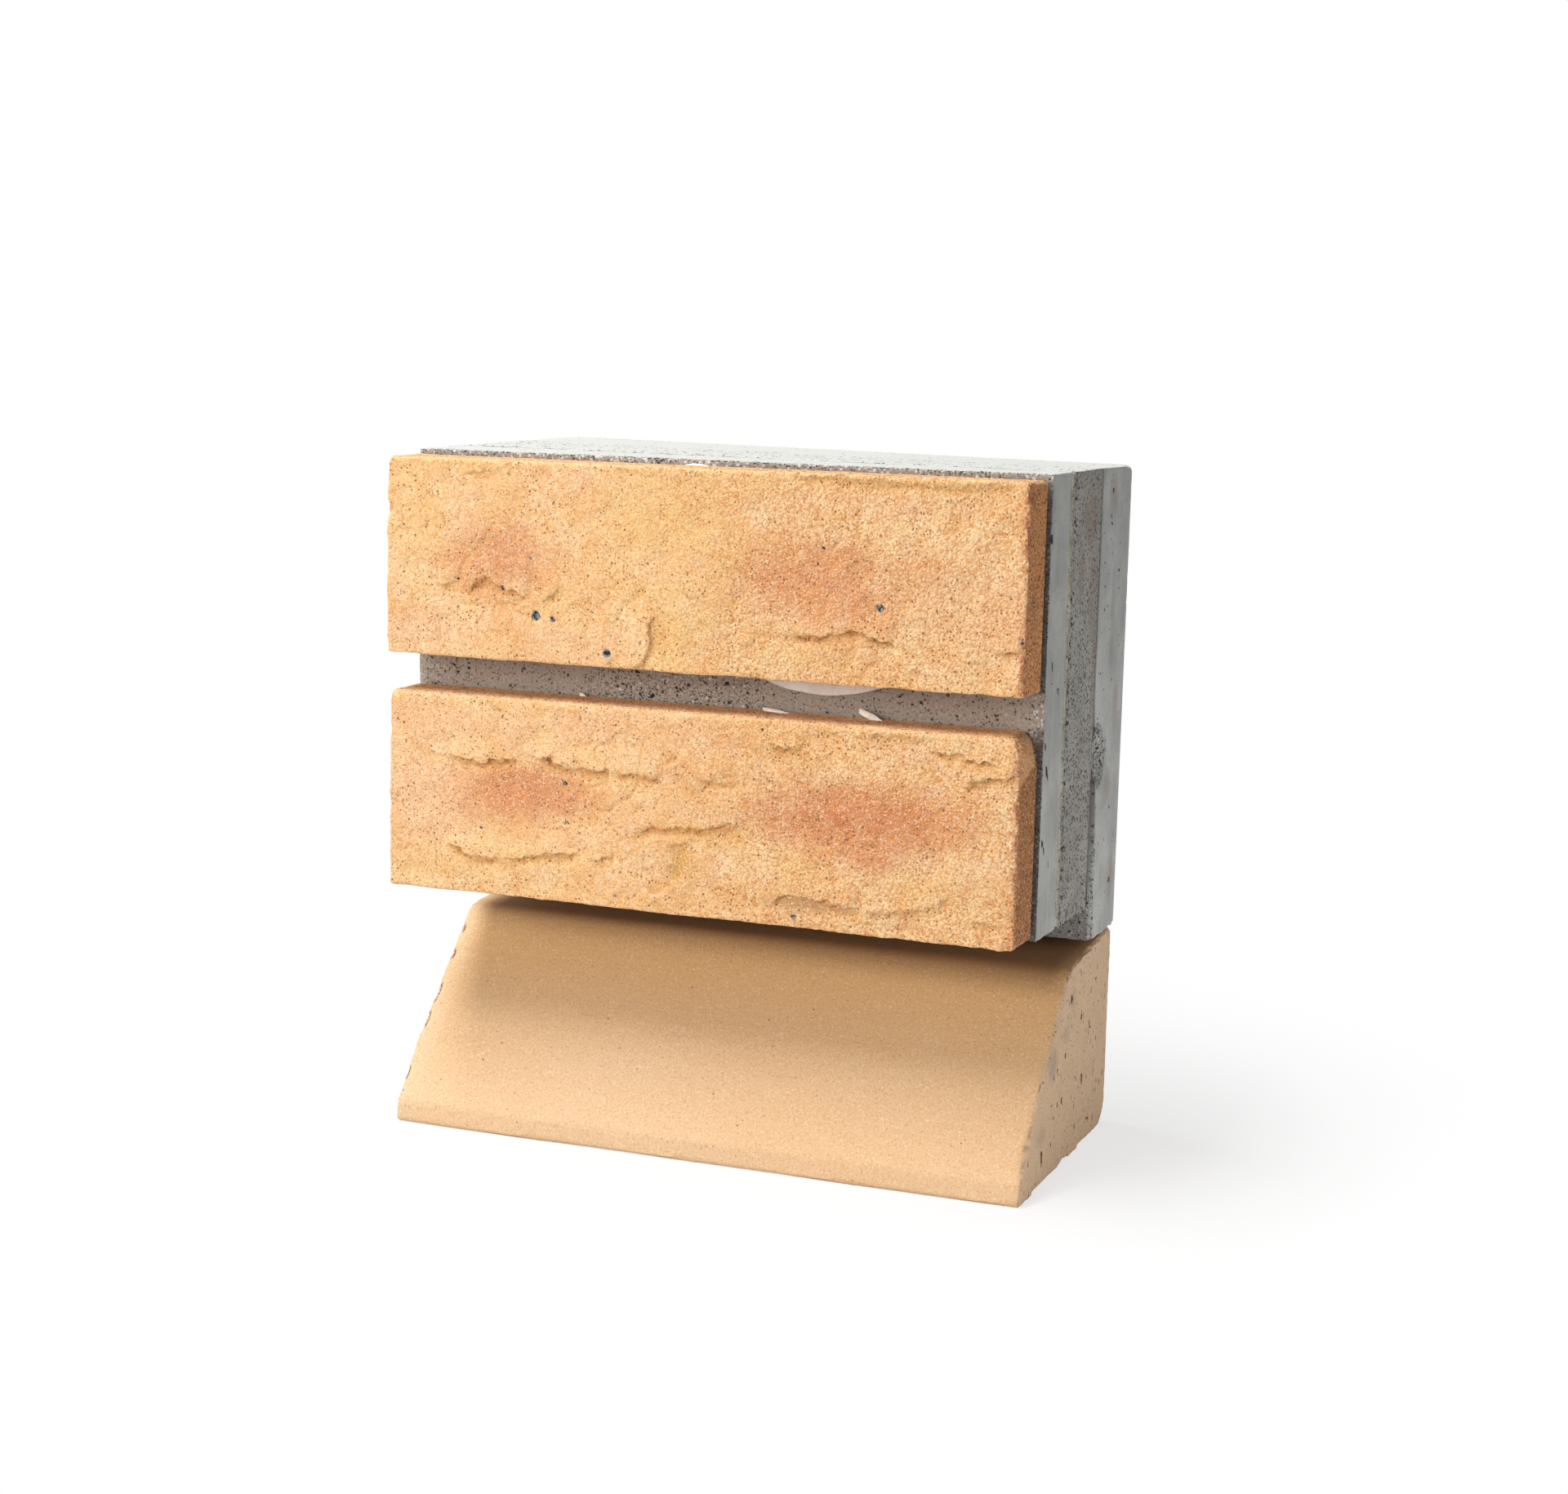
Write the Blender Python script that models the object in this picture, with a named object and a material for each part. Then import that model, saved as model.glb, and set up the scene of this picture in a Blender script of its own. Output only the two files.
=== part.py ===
"""Wall panel sample: two brick slips on layered backing boards, standing on a sloped sill brick.

Units are metres, +Z is up and the slips face -Y. The sill brick rests on the floor at Z = 0.
The backing is three cement boards, the front two joined by a thin bonding layer. The slips are
held off the front board by dabs of adhesive. Touching pieces keep a 0.3 mm gap.
"""
import math

import bmesh
import bpy
from mathutils import Matrix, Vector

MM = 0.001
GAP = 0.3

# Brick slips, all sizes in millimetres.
SLIP_FRONT_Y = -57.5
SLIP_THICKNESS = 19.0
SLIP_ARRIS = 1.2
SLIP_ROUGHNESS = 0.9
UPPER_LEFT_X = -120.0
UPPER_RIGHT_X = 120.0
UPPER_BOTTOM_Z = 174.4
UPPER_TOP_Z = 245.2
UPPER_LEFT_ROUND = 0.6
UPPER_RIGHT_ROUND = 1.4
LOWER_LEFT_X = -118.8
LOWER_RIGHT_X = 119.8
LOWER_BOTTOM_LEFT_Z = 90.2
LOWER_BOTTOM_RIGHT_Z = 89.0
LOWER_TOP_Z = 161.1
LOWER_FOOT_ROUND = 0.8
LOWER_TOP_LEFT_ROUND = 3.0
LOWER_TOP_RIGHT_ROUND = 6.0
CORNER_LUMP_LENGTH = 16.0
CORNER_LUMP_DROP = 0.6
CORNER_LUMP_ROUND = 7.0
CORNER_LUMP_END_ROUND = 2.0

# Adhesive dabs between the front board and the slips.
DAB_THICKNESS = 2.0
DAB_SEGMENTS = 64
DAB_RIM = 0.4
DAB_ROUGHNESS = 0.55
WIDE_DAB_HALF_WIDTH = 40.0
WIDE_DAB_HALF_HEIGHT = 24.0
WIDE_DAB_X = 41.5
WIDE_DAB_LOW_Z = 167.6
TOP_DAB_RADIUS = 18.0
TOP_DAB_X = -7.5
TOP_DAB_HIGH_Z = 246.9
LEFT_DAB_RADIUS = 26.0
LEFT_DAB_X = -78.0
LEFT_DAB_Z = 211.0
LOWER_DAB_RADIUS = 27.0
LOWER_DAB_X = (-66.0, 58.0)
LOWER_DAB_Z = 127.0

# Backing boards. The left ends are cut on a slant, the right end is nearly square.
BOARD_FRONT_Y = SLIP_FRONT_Y + SLIP_THICKNESS + DAB_THICKNESS
BOARD_LEFT_X = -118.8
BOARD_LEFT_SLANT = 0.158
BOARD_RIGHT_X = 121.3
BOARD_TOP_Z = 247.2
BOARD_BOTTOM_Z = 88.3
FRONT_BOARD_BACK_Y = -13.7
BOND_BACK_Y = -10.1
MIDDLE_BACK_TOP_Y = 25.2
MIDDLE_BACK_BOTTOM_Y = 22.9
REAR_FRONT_Y = 25.5
REAR_BACK_Y = 57.2
REAR_BOTTOM_Z = 76.3
REAR_RIGHT_TOP_X = 121.6
REAR_RIGHT_BOTTOM_X = 123.2
REAR_TOP_LEFT_Z = 249.7
REAR_FOOT_ROUND = 7.0
REAR_TOP_ROUND = 1.6
BOARD_ARRIS = 0.5
BOARD_ROUGHNESS = 0.85
TOP_RISE_REACH = 6.0
BOND_INSET = 0.6

# Damage on the rear board's right end: a hollow broken out beside the middle board, and its
# front arris broken away in a wedge that widens towards the foot.
HOLLOW_Y = 27.0
HOLLOW_Z = 144.5
HOLLOW_RADIUS = 11.0
HOLLOW_DEPTH = 4.5
HOLLOW_SEGMENTS = 24
WEDGE_TOP_Z = 192.0
WEDGE_FOOT_WIDTH = 5.5
WEDGE_FOOT_DEPTH = 3.5

# Sill brick: an extruded profile with a nose, a sloped face and a gently rising ledge.
SILL_LEFT_X = -115.4
SILL_RIGHT_X = 124.2
SILL_TURN_DEG = 1.0
SILL_NOSE_LEAN = 1.2
SILL_NOSE_HEIGHT = 8.0
SILL_BREAK_Y = 24.5
SILL_BREAK_Z = 35.6
SILL_SHOULDER_Y = 58.3
SILL_SHOULDER_Z = 71.0
SILL_DEPTH = 115.4
SILL_BACK_Z = 76.0
SILL_NOSE_FOOT_ROUND = 0.9
SILL_NOSE_ROUND = 2.5
SILL_BREAK_ROUND = 120.0
SILL_SHOULDER_ROUND = 9.0
SILL_BACK_ROUND = 3.6
SILL_FOOT_ROUND = 11.0
SILL_ROUGHNESS = 0.85
GROOVE_CENTRE_Y = 58.0
GROOVE_HALF_WIDTH = 6.0
GROOVE_DEPTH = 1.4
GROOVE_ROUND = 3.0

# Scoops broken out of the sill's right front arris: height, length and depth.
ARRIS_SCOOPS = ((18.0, 26.0, 1.4), (57.0, 17.0, 0.7))
SCOOP_WIDTH = 12.0
SCOOP_SEGMENTS = 96
ARC_STEP_DEG = 9.0

SLIP_COLOUR = (0.86, 0.52, 0.24, 1.0)
SILL_COLOUR = (0.72, 0.50, 0.29, 1.0)
BOARD_COLOUR = (0.40, 0.40, 0.37, 1.0)
DARK_BOARD_COLOUR = (0.27, 0.28, 0.26, 1.0)
BOND_COLOUR = (0.55, 0.52, 0.40, 1.0)
DAB_COLOUR = (0.78, 0.77, 0.70, 1.0)


def clear_scene():
    for obj in list(bpy.data.objects):
        bpy.data.objects.remove(obj, do_unlink=True)


def make_material(name, colour, roughness):
    mat = bpy.data.materials.new(name)
    mat.use_nodes = True
    shader = mat.node_tree.nodes["Principled BSDF"]
    shader.inputs["Base Color"].default_value = colour
    shader.inputs["Roughness"].default_value = roughness
    mat.diffuse_color = colour
    return mat


def add_object(name, bm, colour, roughness):
    """Close the mesh off as a named object with its own material."""
    bmesh.ops.remove_doubles(bm, verts=bm.verts, dist=1e-6)
    bmesh.ops.recalc_face_normals(bm, faces=bm.faces)
    mesh = bpy.data.meshes.new(name)
    bm.to_mesh(mesh)
    bm.free()
    obj = bpy.data.objects.new(name, mesh)
    obj.data.materials.append(make_material(name, colour, roughness))
    bpy.context.scene.collection.objects.link(obj)
    return obj


def round_corners(corners):
    """Turn (u, v, radius) corners of a closed outline into points, each corner an arc."""
    points = []
    count = len(corners)
    for index, (u, v, radius) in enumerate(corners):
        here = Vector((u, v))
        before = Vector(corners[index - 1][:2]) - here
        after = Vector(corners[(index + 1) % count][:2]) - here
        if radius <= 0.0:
            points.append(here)
            continue
        to_before = before.normalized()
        to_after = after.normalized()
        half = to_before.angle(to_after) / 2.0
        reach = radius / math.tan(half)
        centre = here + (to_before + to_after).normalized() * (radius / math.sin(half))
        start = here + to_before * reach - centre
        sweep = start.angle_signed(here + to_after * reach - centre)
        steps = max(2, math.ceil(abs(math.degrees(sweep)) / ARC_STEP_DEG))
        for step in range(steps + 1):
            points.append(centre + Matrix.Rotation(-sweep * step / steps, 2) @ start)
    return points


def prism(points, place):
    """Join two copies of an outline, place(point, end) giving each corner its position."""
    bm = bmesh.new()
    ends = []
    for end in (0, 1):
        ends.append([bm.verts.new(place(point, end)) for point in points])
    count = len(points)
    for index in range(count):
        following = (index + 1) % count
        bm.faces.new((ends[0][index], ends[0][following], ends[1][following], ends[1][index]))
    bm.faces.new(ends[0])
    bm.faces.new(list(reversed(ends[1])))
    return bm


def build_slip(name, corners):
    """Extrude a slip's front outline towards the back and wear down its front arris."""
    back_y = SLIP_FRONT_Y + SLIP_THICKNESS - GAP / 2.0

    def place(point, end):
        y = SLIP_FRONT_Y if end == 0 else back_y
        return Vector((point.x, y, point.y)) * MM

    bm = prism(round_corners(corners), place)
    front = [e for e in bm.edges if all(abs(v.co.y - SLIP_FRONT_Y * MM) < 1e-7 for v in e.verts)]
    bmesh.ops.bevel(bm, geom=front, offset=SLIP_ARRIS * MM, segments=3, profile=0.5, affect="EDGES")
    return add_object(name, bm, SLIP_COLOUR, SLIP_ROUGHNESS)


def build_upper_slip():
    corners = [
        (UPPER_LEFT_X, UPPER_BOTTOM_Z, UPPER_LEFT_ROUND),
        (UPPER_RIGHT_X, UPPER_BOTTOM_Z, UPPER_RIGHT_ROUND),
        (UPPER_RIGHT_X, UPPER_TOP_Z, UPPER_RIGHT_ROUND),
        (UPPER_LEFT_X, UPPER_TOP_Z, UPPER_LEFT_ROUND),
    ]
    return build_slip("upper_brick_slip", corners)


def build_lower_slip():
    lump_start_x = LOWER_RIGHT_X - CORNER_LUMP_LENGTH
    lump_low_x = LOWER_RIGHT_X - CORNER_LUMP_LENGTH / 3.0
    corners = [
        (LOWER_LEFT_X, LOWER_BOTTOM_LEFT_Z, LOWER_FOOT_ROUND),
        (lump_start_x, LOWER_BOTTOM_RIGHT_Z + CORNER_LUMP_DROP, CORNER_LUMP_ROUND),
        (lump_low_x, LOWER_BOTTOM_RIGHT_Z, CORNER_LUMP_ROUND),
        (LOWER_RIGHT_X, LOWER_BOTTOM_RIGHT_Z + 2.0 * CORNER_LUMP_DROP, CORNER_LUMP_END_ROUND),
        (LOWER_RIGHT_X, LOWER_TOP_Z, LOWER_TOP_RIGHT_ROUND),
        (LOWER_LEFT_X, LOWER_TOP_Z, LOWER_TOP_LEFT_ROUND),
    ]
    return build_slip("lower_brick_slip", corners)


def build_dab(name, x, z, half_width, half_height):
    """An oval pat of adhesive pressed flat between the front board and a slip."""
    front_y = SLIP_FRONT_Y + SLIP_THICKNESS + GAP / 2.0
    back_y = BOARD_FRONT_Y - GAP / 2.0
    outline = []
    for step in range(DAB_SEGMENTS):
        angle = 2.0 * math.pi * step / DAB_SEGMENTS
        outline.append(Vector((x + half_width * math.cos(angle), z + half_height * math.sin(angle))))

    def place(point, end):
        y = front_y if end == 0 else back_y
        return Vector((point.x, y, point.y)) * MM

    bm = prism(outline, place)
    rims = [e for e in bm.edges if abs(e.verts[0].co.y - e.verts[1].co.y) < 1e-7]
    bmesh.ops.bevel(bm, geom=rims, offset=DAB_RIM * MM, segments=2, profile=0.5, affect="EDGES")
    return add_object(name, bm, DAB_COLOUR, DAB_ROUGHNESS)


def build_dabs():
    wide_z = WIDE_DAB_LOW_Z + WIDE_DAB_HALF_HEIGHT
    top_z = TOP_DAB_HIGH_Z - TOP_DAB_RADIUS
    build_dab("adhesive_dab_wide", WIDE_DAB_X, wide_z, WIDE_DAB_HALF_WIDTH, WIDE_DAB_HALF_HEIGHT)
    build_dab("adhesive_dab_top", TOP_DAB_X, top_z, TOP_DAB_RADIUS, TOP_DAB_RADIUS)
    build_dab("adhesive_dab_left", LEFT_DAB_X, LEFT_DAB_Z, LEFT_DAB_RADIUS, LEFT_DAB_RADIUS)
    for x, side in zip(LOWER_DAB_X, ("left", "right")):
        name = "adhesive_dab_lower_" + side
        build_dab(name, x, LOWER_DAB_Z, LOWER_DAB_RADIUS, LOWER_DAB_RADIUS)


def left_end_x(y):
    """The slanted saw cut across the left ends of the boards."""
    return BOARD_LEFT_X + (y - BOARD_FRONT_Y) * BOARD_LEFT_SLANT


def board_top_z(x, y):
    """The boards' top is level at the front and climbs to the rear left corner."""
    across = (BOARD_RIGHT_X - x) / (BOARD_RIGHT_X - left_end_x(REAR_BACK_Y))
    back = (y - BOARD_FRONT_Y) / (REAR_BACK_Y - BOARD_FRONT_Y)
    return BOARD_TOP_Z + (REAR_TOP_LEFT_Z - BOARD_TOP_Z) * across * back


def build_board(name, side, right_x, colour):
    """Extrude a board's side outline from its slanted left end to its right end.

    side lists (y, z, radius) corners; right_x gives the right end's x at a height.
    """
    def place(point, end):
        y, z = point.x, point.y
        x = left_end_x(y) if end == 0 else right_x(z)
        if z > BOARD_TOP_Z - TOP_RISE_REACH:
            z = z + board_top_z(x, y) - BOARD_TOP_Z
        return Vector((x, y, z)) * MM

    bm = prism(round_corners(side), place)
    bmesh.ops.triangulate(bm, faces=[f for f in bm.faces if len(f.verts) > 4])
    return add_object(name, bm, colour, BOARD_ROUGHNESS)


def straight_right_end(_z):
    return BOARD_RIGHT_X


def leaning_right_end(z):
    share = (z - REAR_BOTTOM_Z) / (BOARD_TOP_Z - REAR_BOTTOM_Z)
    return REAR_RIGHT_BOTTOM_X + (REAR_RIGHT_TOP_X - REAR_RIGHT_BOTTOM_X) * share


def build_boards():
    arris = BOARD_ARRIS
    front = [
        (BOARD_FRONT_Y, BOARD_BOTTOM_Z, arris),
        (FRONT_BOARD_BACK_Y - GAP, BOARD_BOTTOM_Z, arris),
        (FRONT_BOARD_BACK_Y - GAP, BOARD_TOP_Z, arris),
        (BOARD_FRONT_Y, BOARD_TOP_Z, arris),
    ]
    build_board("front_board", front, straight_right_end, BOARD_COLOUR)
    bond = [
        (FRONT_BOARD_BACK_Y, BOARD_BOTTOM_Z + BOND_INSET, 0.0),
        (BOND_BACK_Y, BOARD_BOTTOM_Z + BOND_INSET, 0.0),
        (BOND_BACK_Y, BOARD_TOP_Z - BOND_INSET, 0.0),
        (FRONT_BOARD_BACK_Y, BOARD_TOP_Z - BOND_INSET, 0.0),
    ]
    build_board("bonding_layer", bond, straight_right_end, BOND_COLOUR)
    middle = [
        (BOND_BACK_Y + GAP, BOARD_BOTTOM_Z, arris),
        (MIDDLE_BACK_BOTTOM_Y, BOARD_BOTTOM_Z, arris),
        (MIDDLE_BACK_TOP_Y, BOARD_TOP_Z, arris),
        (BOND_BACK_Y + GAP, BOARD_TOP_Z, arris),
    ]
    build_board("middle_board", middle, straight_right_end, DARK_BOARD_COLOUR)
    rear = [
        (REAR_FRONT_Y, REAR_BOTTOM_Z, arris),
        (REAR_BACK_Y, REAR_BOTTOM_Z, REAR_FOOT_ROUND),
        (REAR_BACK_Y, BOARD_TOP_Z, REAR_TOP_ROUND),
        (REAR_FRONT_Y, BOARD_TOP_Z, arris),
    ]
    return build_board("rear_board", rear, leaning_right_end, BOARD_COLOUR)


def cut_away(piece, name, bm, colour):
    """Take a closed shape out of a piece with a Boolean, and keep the shape as a hidden guide."""
    cutter = add_object(name, bm, colour, BOARD_ROUGHNESS)
    cutter.hide_render = True
    cutter.display_type = "WIRE"
    cut = piece.modifiers.new(name, "BOOLEAN")
    cut.operation = "DIFFERENCE"
    cut.object = cutter


def break_hollow(board):
    """Hollow out the rear board's right end beside the middle board with a ball."""
    ball_radius = (HOLLOW_RADIUS ** 2 + HOLLOW_DEPTH ** 2) / (2.0 * HOLLOW_DEPTH)
    centre = Vector((leaning_right_end(HOLLOW_Z) + ball_radius - HOLLOW_DEPTH, HOLLOW_Y, HOLLOW_Z))
    bm = bmesh.new()
    bmesh.ops.create_uvsphere(
        bm,
        u_segments=2 * HOLLOW_SEGMENTS,
        v_segments=HOLLOW_SEGMENTS,
        radius=ball_radius * MM,
        matrix=Matrix.Translation(centre * MM),
    )
    cut_away(board, "rear_hollow", bm, BOARD_COLOUR)


def break_front_arris(board):
    """Break the rear board's front right arris away in a wedge that widens towards the foot."""
    low_z = REAR_BOTTOM_Z - 1.0
    foot_share = (WEDGE_TOP_Z - low_z) / (WEDGE_TOP_Z - REAR_BOTTOM_Z)

    def place(point, end):
        if end == 1:
            return Vector((leaning_right_end(WEDGE_TOP_Z) + point.x, REAR_FRONT_Y + point.y, WEDGE_TOP_Z)) * MM
        x = leaning_right_end(low_z) + point.x * WEDGE_FOOT_DEPTH * foot_share
        return Vector((x, REAR_FRONT_Y + point.y * WEDGE_FOOT_WIDTH * foot_share, low_z)) * MM

    outline = [Vector((0.5, -0.5)), Vector((0.5, 1.0)), Vector((-0.4, 0.55)), Vector((-1.0, -0.5))]
    bm = prism(outline, place)
    bmesh.ops.triangulate(bm, faces=list(bm.faces))
    cut_away(board, "rear_arris_wedge", bm, BOARD_COLOUR)


def sill_profile():
    """Depth and height of the sill's outline, from the nose's foot around to the back."""
    groove_front = GROOVE_CENTRE_Y - GROOVE_HALF_WIDTH
    groove_back = GROOVE_CENTRE_Y + GROOVE_HALF_WIDTH
    corners = [
        (0.0, 0.0, SILL_NOSE_FOOT_ROUND),
        (groove_front, 0.0, GROOVE_ROUND),
        (GROOVE_CENTRE_Y, GROOVE_DEPTH, GROOVE_ROUND),
        (groove_back, 0.0, GROOVE_ROUND),
        (SILL_DEPTH, 0.0, SILL_FOOT_ROUND),
        (SILL_DEPTH, SILL_BACK_Z, SILL_BACK_ROUND),
        (SILL_SHOULDER_Y, SILL_SHOULDER_Z, SILL_SHOULDER_ROUND),
        (SILL_BREAK_Y, SILL_BREAK_Z, SILL_BREAK_ROUND),
        (SILL_NOSE_LEAN, SILL_NOSE_HEIGHT, SILL_NOSE_ROUND),
    ]
    return round_corners(corners)


def sill_point(x, depth, height):
    """A point of the sill, which is turned a little under the panel."""
    turn = Matrix.Rotation(math.radians(SILL_TURN_DEG), 3, "Z")
    return (Vector((0.0, SLIP_FRONT_Y, 0.0)) + turn @ Vector((x, depth, height))) * MM


def slope_depth(height):
    """Depth of the sloped face at a height, along its lower or its upper run."""
    if height < SILL_BREAK_Z:
        share = (height - SILL_NOSE_HEIGHT) / (SILL_BREAK_Z - SILL_NOSE_HEIGHT)
        return SILL_NOSE_LEAN + (SILL_BREAK_Y - SILL_NOSE_LEAN) * share
    share = (height - SILL_BREAK_Z) / (SILL_SHOULDER_Z - SILL_BREAK_Z)
    return SILL_BREAK_Y + (SILL_SHOULDER_Y - SILL_BREAK_Y) * share


def scoop_arris(sill, number, height, length, depth):
    """Break a shallow scoop out of the right front arris with a large crosswise drum."""
    middle = sill_point(SILL_RIGHT_X, slope_depth(height), height)
    above = sill_point(SILL_RIGHT_X, slope_depth(height + 1.0), height + 1.0)
    along = (above - middle).normalized()
    end_normal = (sill_point(1.0, 0.0, 0.0) - sill_point(0.0, 0.0, 0.0)).normalized()
    outward = (end_normal + along.cross(end_normal)).normalized()
    if outward.y > 0.0:
        outward = (end_normal - along.cross(end_normal)).normalized()
    radius = (length ** 2 / 4.0 + depth ** 2) / (2.0 * depth)
    across = along.cross(outward)
    bm = bmesh.new()
    bmesh.ops.create_cone(
        bm,
        cap_ends=True,
        segments=SCOOP_SEGMENTS,
        radius1=radius * MM,
        radius2=radius * MM,
        depth=SCOOP_WIDTH * MM,
    )
    axes = Matrix((along, outward, across)).transposed().to_4x4()
    axes.translation = middle + outward * (radius - depth) * MM
    bmesh.ops.transform(bm, matrix=axes, verts=bm.verts)
    cut_away(sill, "arris_scoop_%d" % number, bm, SILL_COLOUR)


def build_sill():
    def place(point, end):
        x = SILL_LEFT_X if end == 0 else SILL_RIGHT_X
        return sill_point(x, point.x, point.y)

    bm = prism(sill_profile(), place)
    sill = add_object("sill_brick", bm, SILL_COLOUR, SILL_ROUGHNESS)
    for number, (height, length, depth) in enumerate(ARRIS_SCOOPS):
        scoop_arris(sill, number, height, length, depth)


def centre_over_origin():
    """Slide everything so that the whole object's box is centred over the origin."""
    bpy.context.view_layer.update()
    shown = [obj for obj in bpy.data.objects if not obj.hide_render]
    corners = [vert.co for obj in shown for vert in obj.data.vertices]
    middle_x = (min(c.x for c in corners) + max(c.x for c in corners)) / 2.0
    middle_y = (min(c.y for c in corners) + max(c.y for c in corners)) / 2.0
    for obj in bpy.data.objects:
        obj.data.transform(Matrix.Translation((-middle_x, -middle_y, 0.0)))


def main():
    clear_scene()
    build_upper_slip()
    build_lower_slip()
    build_dabs()
    rear_board = build_boards()
    break_hollow(rear_board)
    break_front_arris(rear_board)
    build_sill()
    centre_over_origin()


main()
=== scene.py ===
"""Finished looks of a wall panel sample: two brick slips on cement boards, standing on a sill brick.

Units are metres, +Z is up and the slips face -Y, in the same frame as the solids. Places, sizes of
relief, grain and wear are written in millimetres and turned into metres with MM.
"""

import math

import bmesh
import bpy
import numpy as np
from bpy.props import FloatProperty, FloatVectorProperty, PointerProperty
from mathutils import Matrix, Vector, noise


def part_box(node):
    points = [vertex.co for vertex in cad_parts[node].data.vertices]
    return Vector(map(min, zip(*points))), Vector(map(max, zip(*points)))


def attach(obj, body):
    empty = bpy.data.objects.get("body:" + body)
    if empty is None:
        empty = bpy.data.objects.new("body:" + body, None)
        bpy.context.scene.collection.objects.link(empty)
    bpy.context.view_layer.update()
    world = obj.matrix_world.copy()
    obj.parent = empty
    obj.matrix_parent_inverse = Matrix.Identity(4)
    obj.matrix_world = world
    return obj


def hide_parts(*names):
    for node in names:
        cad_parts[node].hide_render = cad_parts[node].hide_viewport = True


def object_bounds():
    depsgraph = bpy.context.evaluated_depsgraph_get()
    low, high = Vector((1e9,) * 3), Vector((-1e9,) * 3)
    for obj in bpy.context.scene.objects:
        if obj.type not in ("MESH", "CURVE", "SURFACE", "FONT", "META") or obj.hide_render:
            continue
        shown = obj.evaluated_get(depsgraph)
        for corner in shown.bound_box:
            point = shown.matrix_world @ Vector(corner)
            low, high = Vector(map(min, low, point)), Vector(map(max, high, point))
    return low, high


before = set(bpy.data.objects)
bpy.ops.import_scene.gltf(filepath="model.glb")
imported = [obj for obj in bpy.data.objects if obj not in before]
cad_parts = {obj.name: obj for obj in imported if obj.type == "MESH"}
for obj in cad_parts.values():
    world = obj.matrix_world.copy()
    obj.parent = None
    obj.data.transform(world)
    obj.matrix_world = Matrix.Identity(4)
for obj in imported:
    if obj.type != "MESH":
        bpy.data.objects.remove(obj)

bl_info = {
    "name": "Brick Slip Panel Looks",
    "version": (1, 0, 0),
    "blender": (4, 5, 0),
    "location": "3D View > Sidebar > Slip Panel",
    "description": "Models and finishes the slips, boards, adhesive and sill brick of a wall panel sample",
    "category": "Object",
}

MM = 0.001
BODY = "root"
CAD_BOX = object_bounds()

# Folds of the clay on the slips' faces, left to right: points (x, z), how far the clay stands out on
# one side of the line (positive: on its left), and how deep and wide the line itself is cut.
UPPER_FOLDS = (
    (((-102, 199.3), (-97, 200.3), (-92, 200.9)), 0.3, 0.4, 0.7),
    (((-89, 197.5), (-87, 201), (-83.5, 203.6), (-79, 203.2), (-75.5, 200.3), (-71, 199), (-65, 197.3)), 0.9, 0.6, 0.8),
    (((-60, 197), (-56, 198), (-54, 201), (-52.5, 204)), 0.4, 0.3, 1.1),
    (((-79, 194.5), (-73, 195.3), (-69, 195.5)), 0.3, 0.2, 1.0),
    (((33, 244.0), (44, 244.2), (58, 243.6), (75, 242.8), (95, 242.7), (108, 243.4), (114, 244.6)), 0.4, 0.2, 0.9),
    (((-92, 240.3), (-84, 240.8), (-76, 240.9)), 0.2, 0.2, 1.0),
    (((-33, 243.2), (-27, 243.5), (-21, 242.9)), 0.2, 0.3, 0.9),
    (((-11, 203.2), (-7, 203.6), (-2, 201.6), (4, 199)), 0.4, 0.1, 1.2),
    (((-15.5, 194), (-18.5, 191), (-18, 187), (-17.5, 182), (-19.5, 178.5), (-23, 176), (-24.5, 174.4)), -1.0, 0.25, 1.0),
    (((34.5, 192.3), (38, 190.2), (44, 190.2), (50, 191.2), (57, 192.9), (62, 192), (67, 190.6), (73, 190)), 0.9, 0.9, 0.8),
    (((34.5, 187.6), (42, 188.5), (50, 190.6)), -0.4, 0.2, 0.8),
    (((107, 188.6), (111, 189.3), (118, 189.4)), 0.6, 0.8, 0.6),
    (((15, 184.6), (18, 185.6), (21.5, 187.4), (21.8, 189)), 0.3, 0.2, 0.9),
    (((-34, 174.0), (-33, 176.6), (-30, 177)), 0.3, 0.8, 0.9),
    (((-3, 174.0), (-2.6, 177.8)), 0.0, 0.8, 0.8),
)
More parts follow.
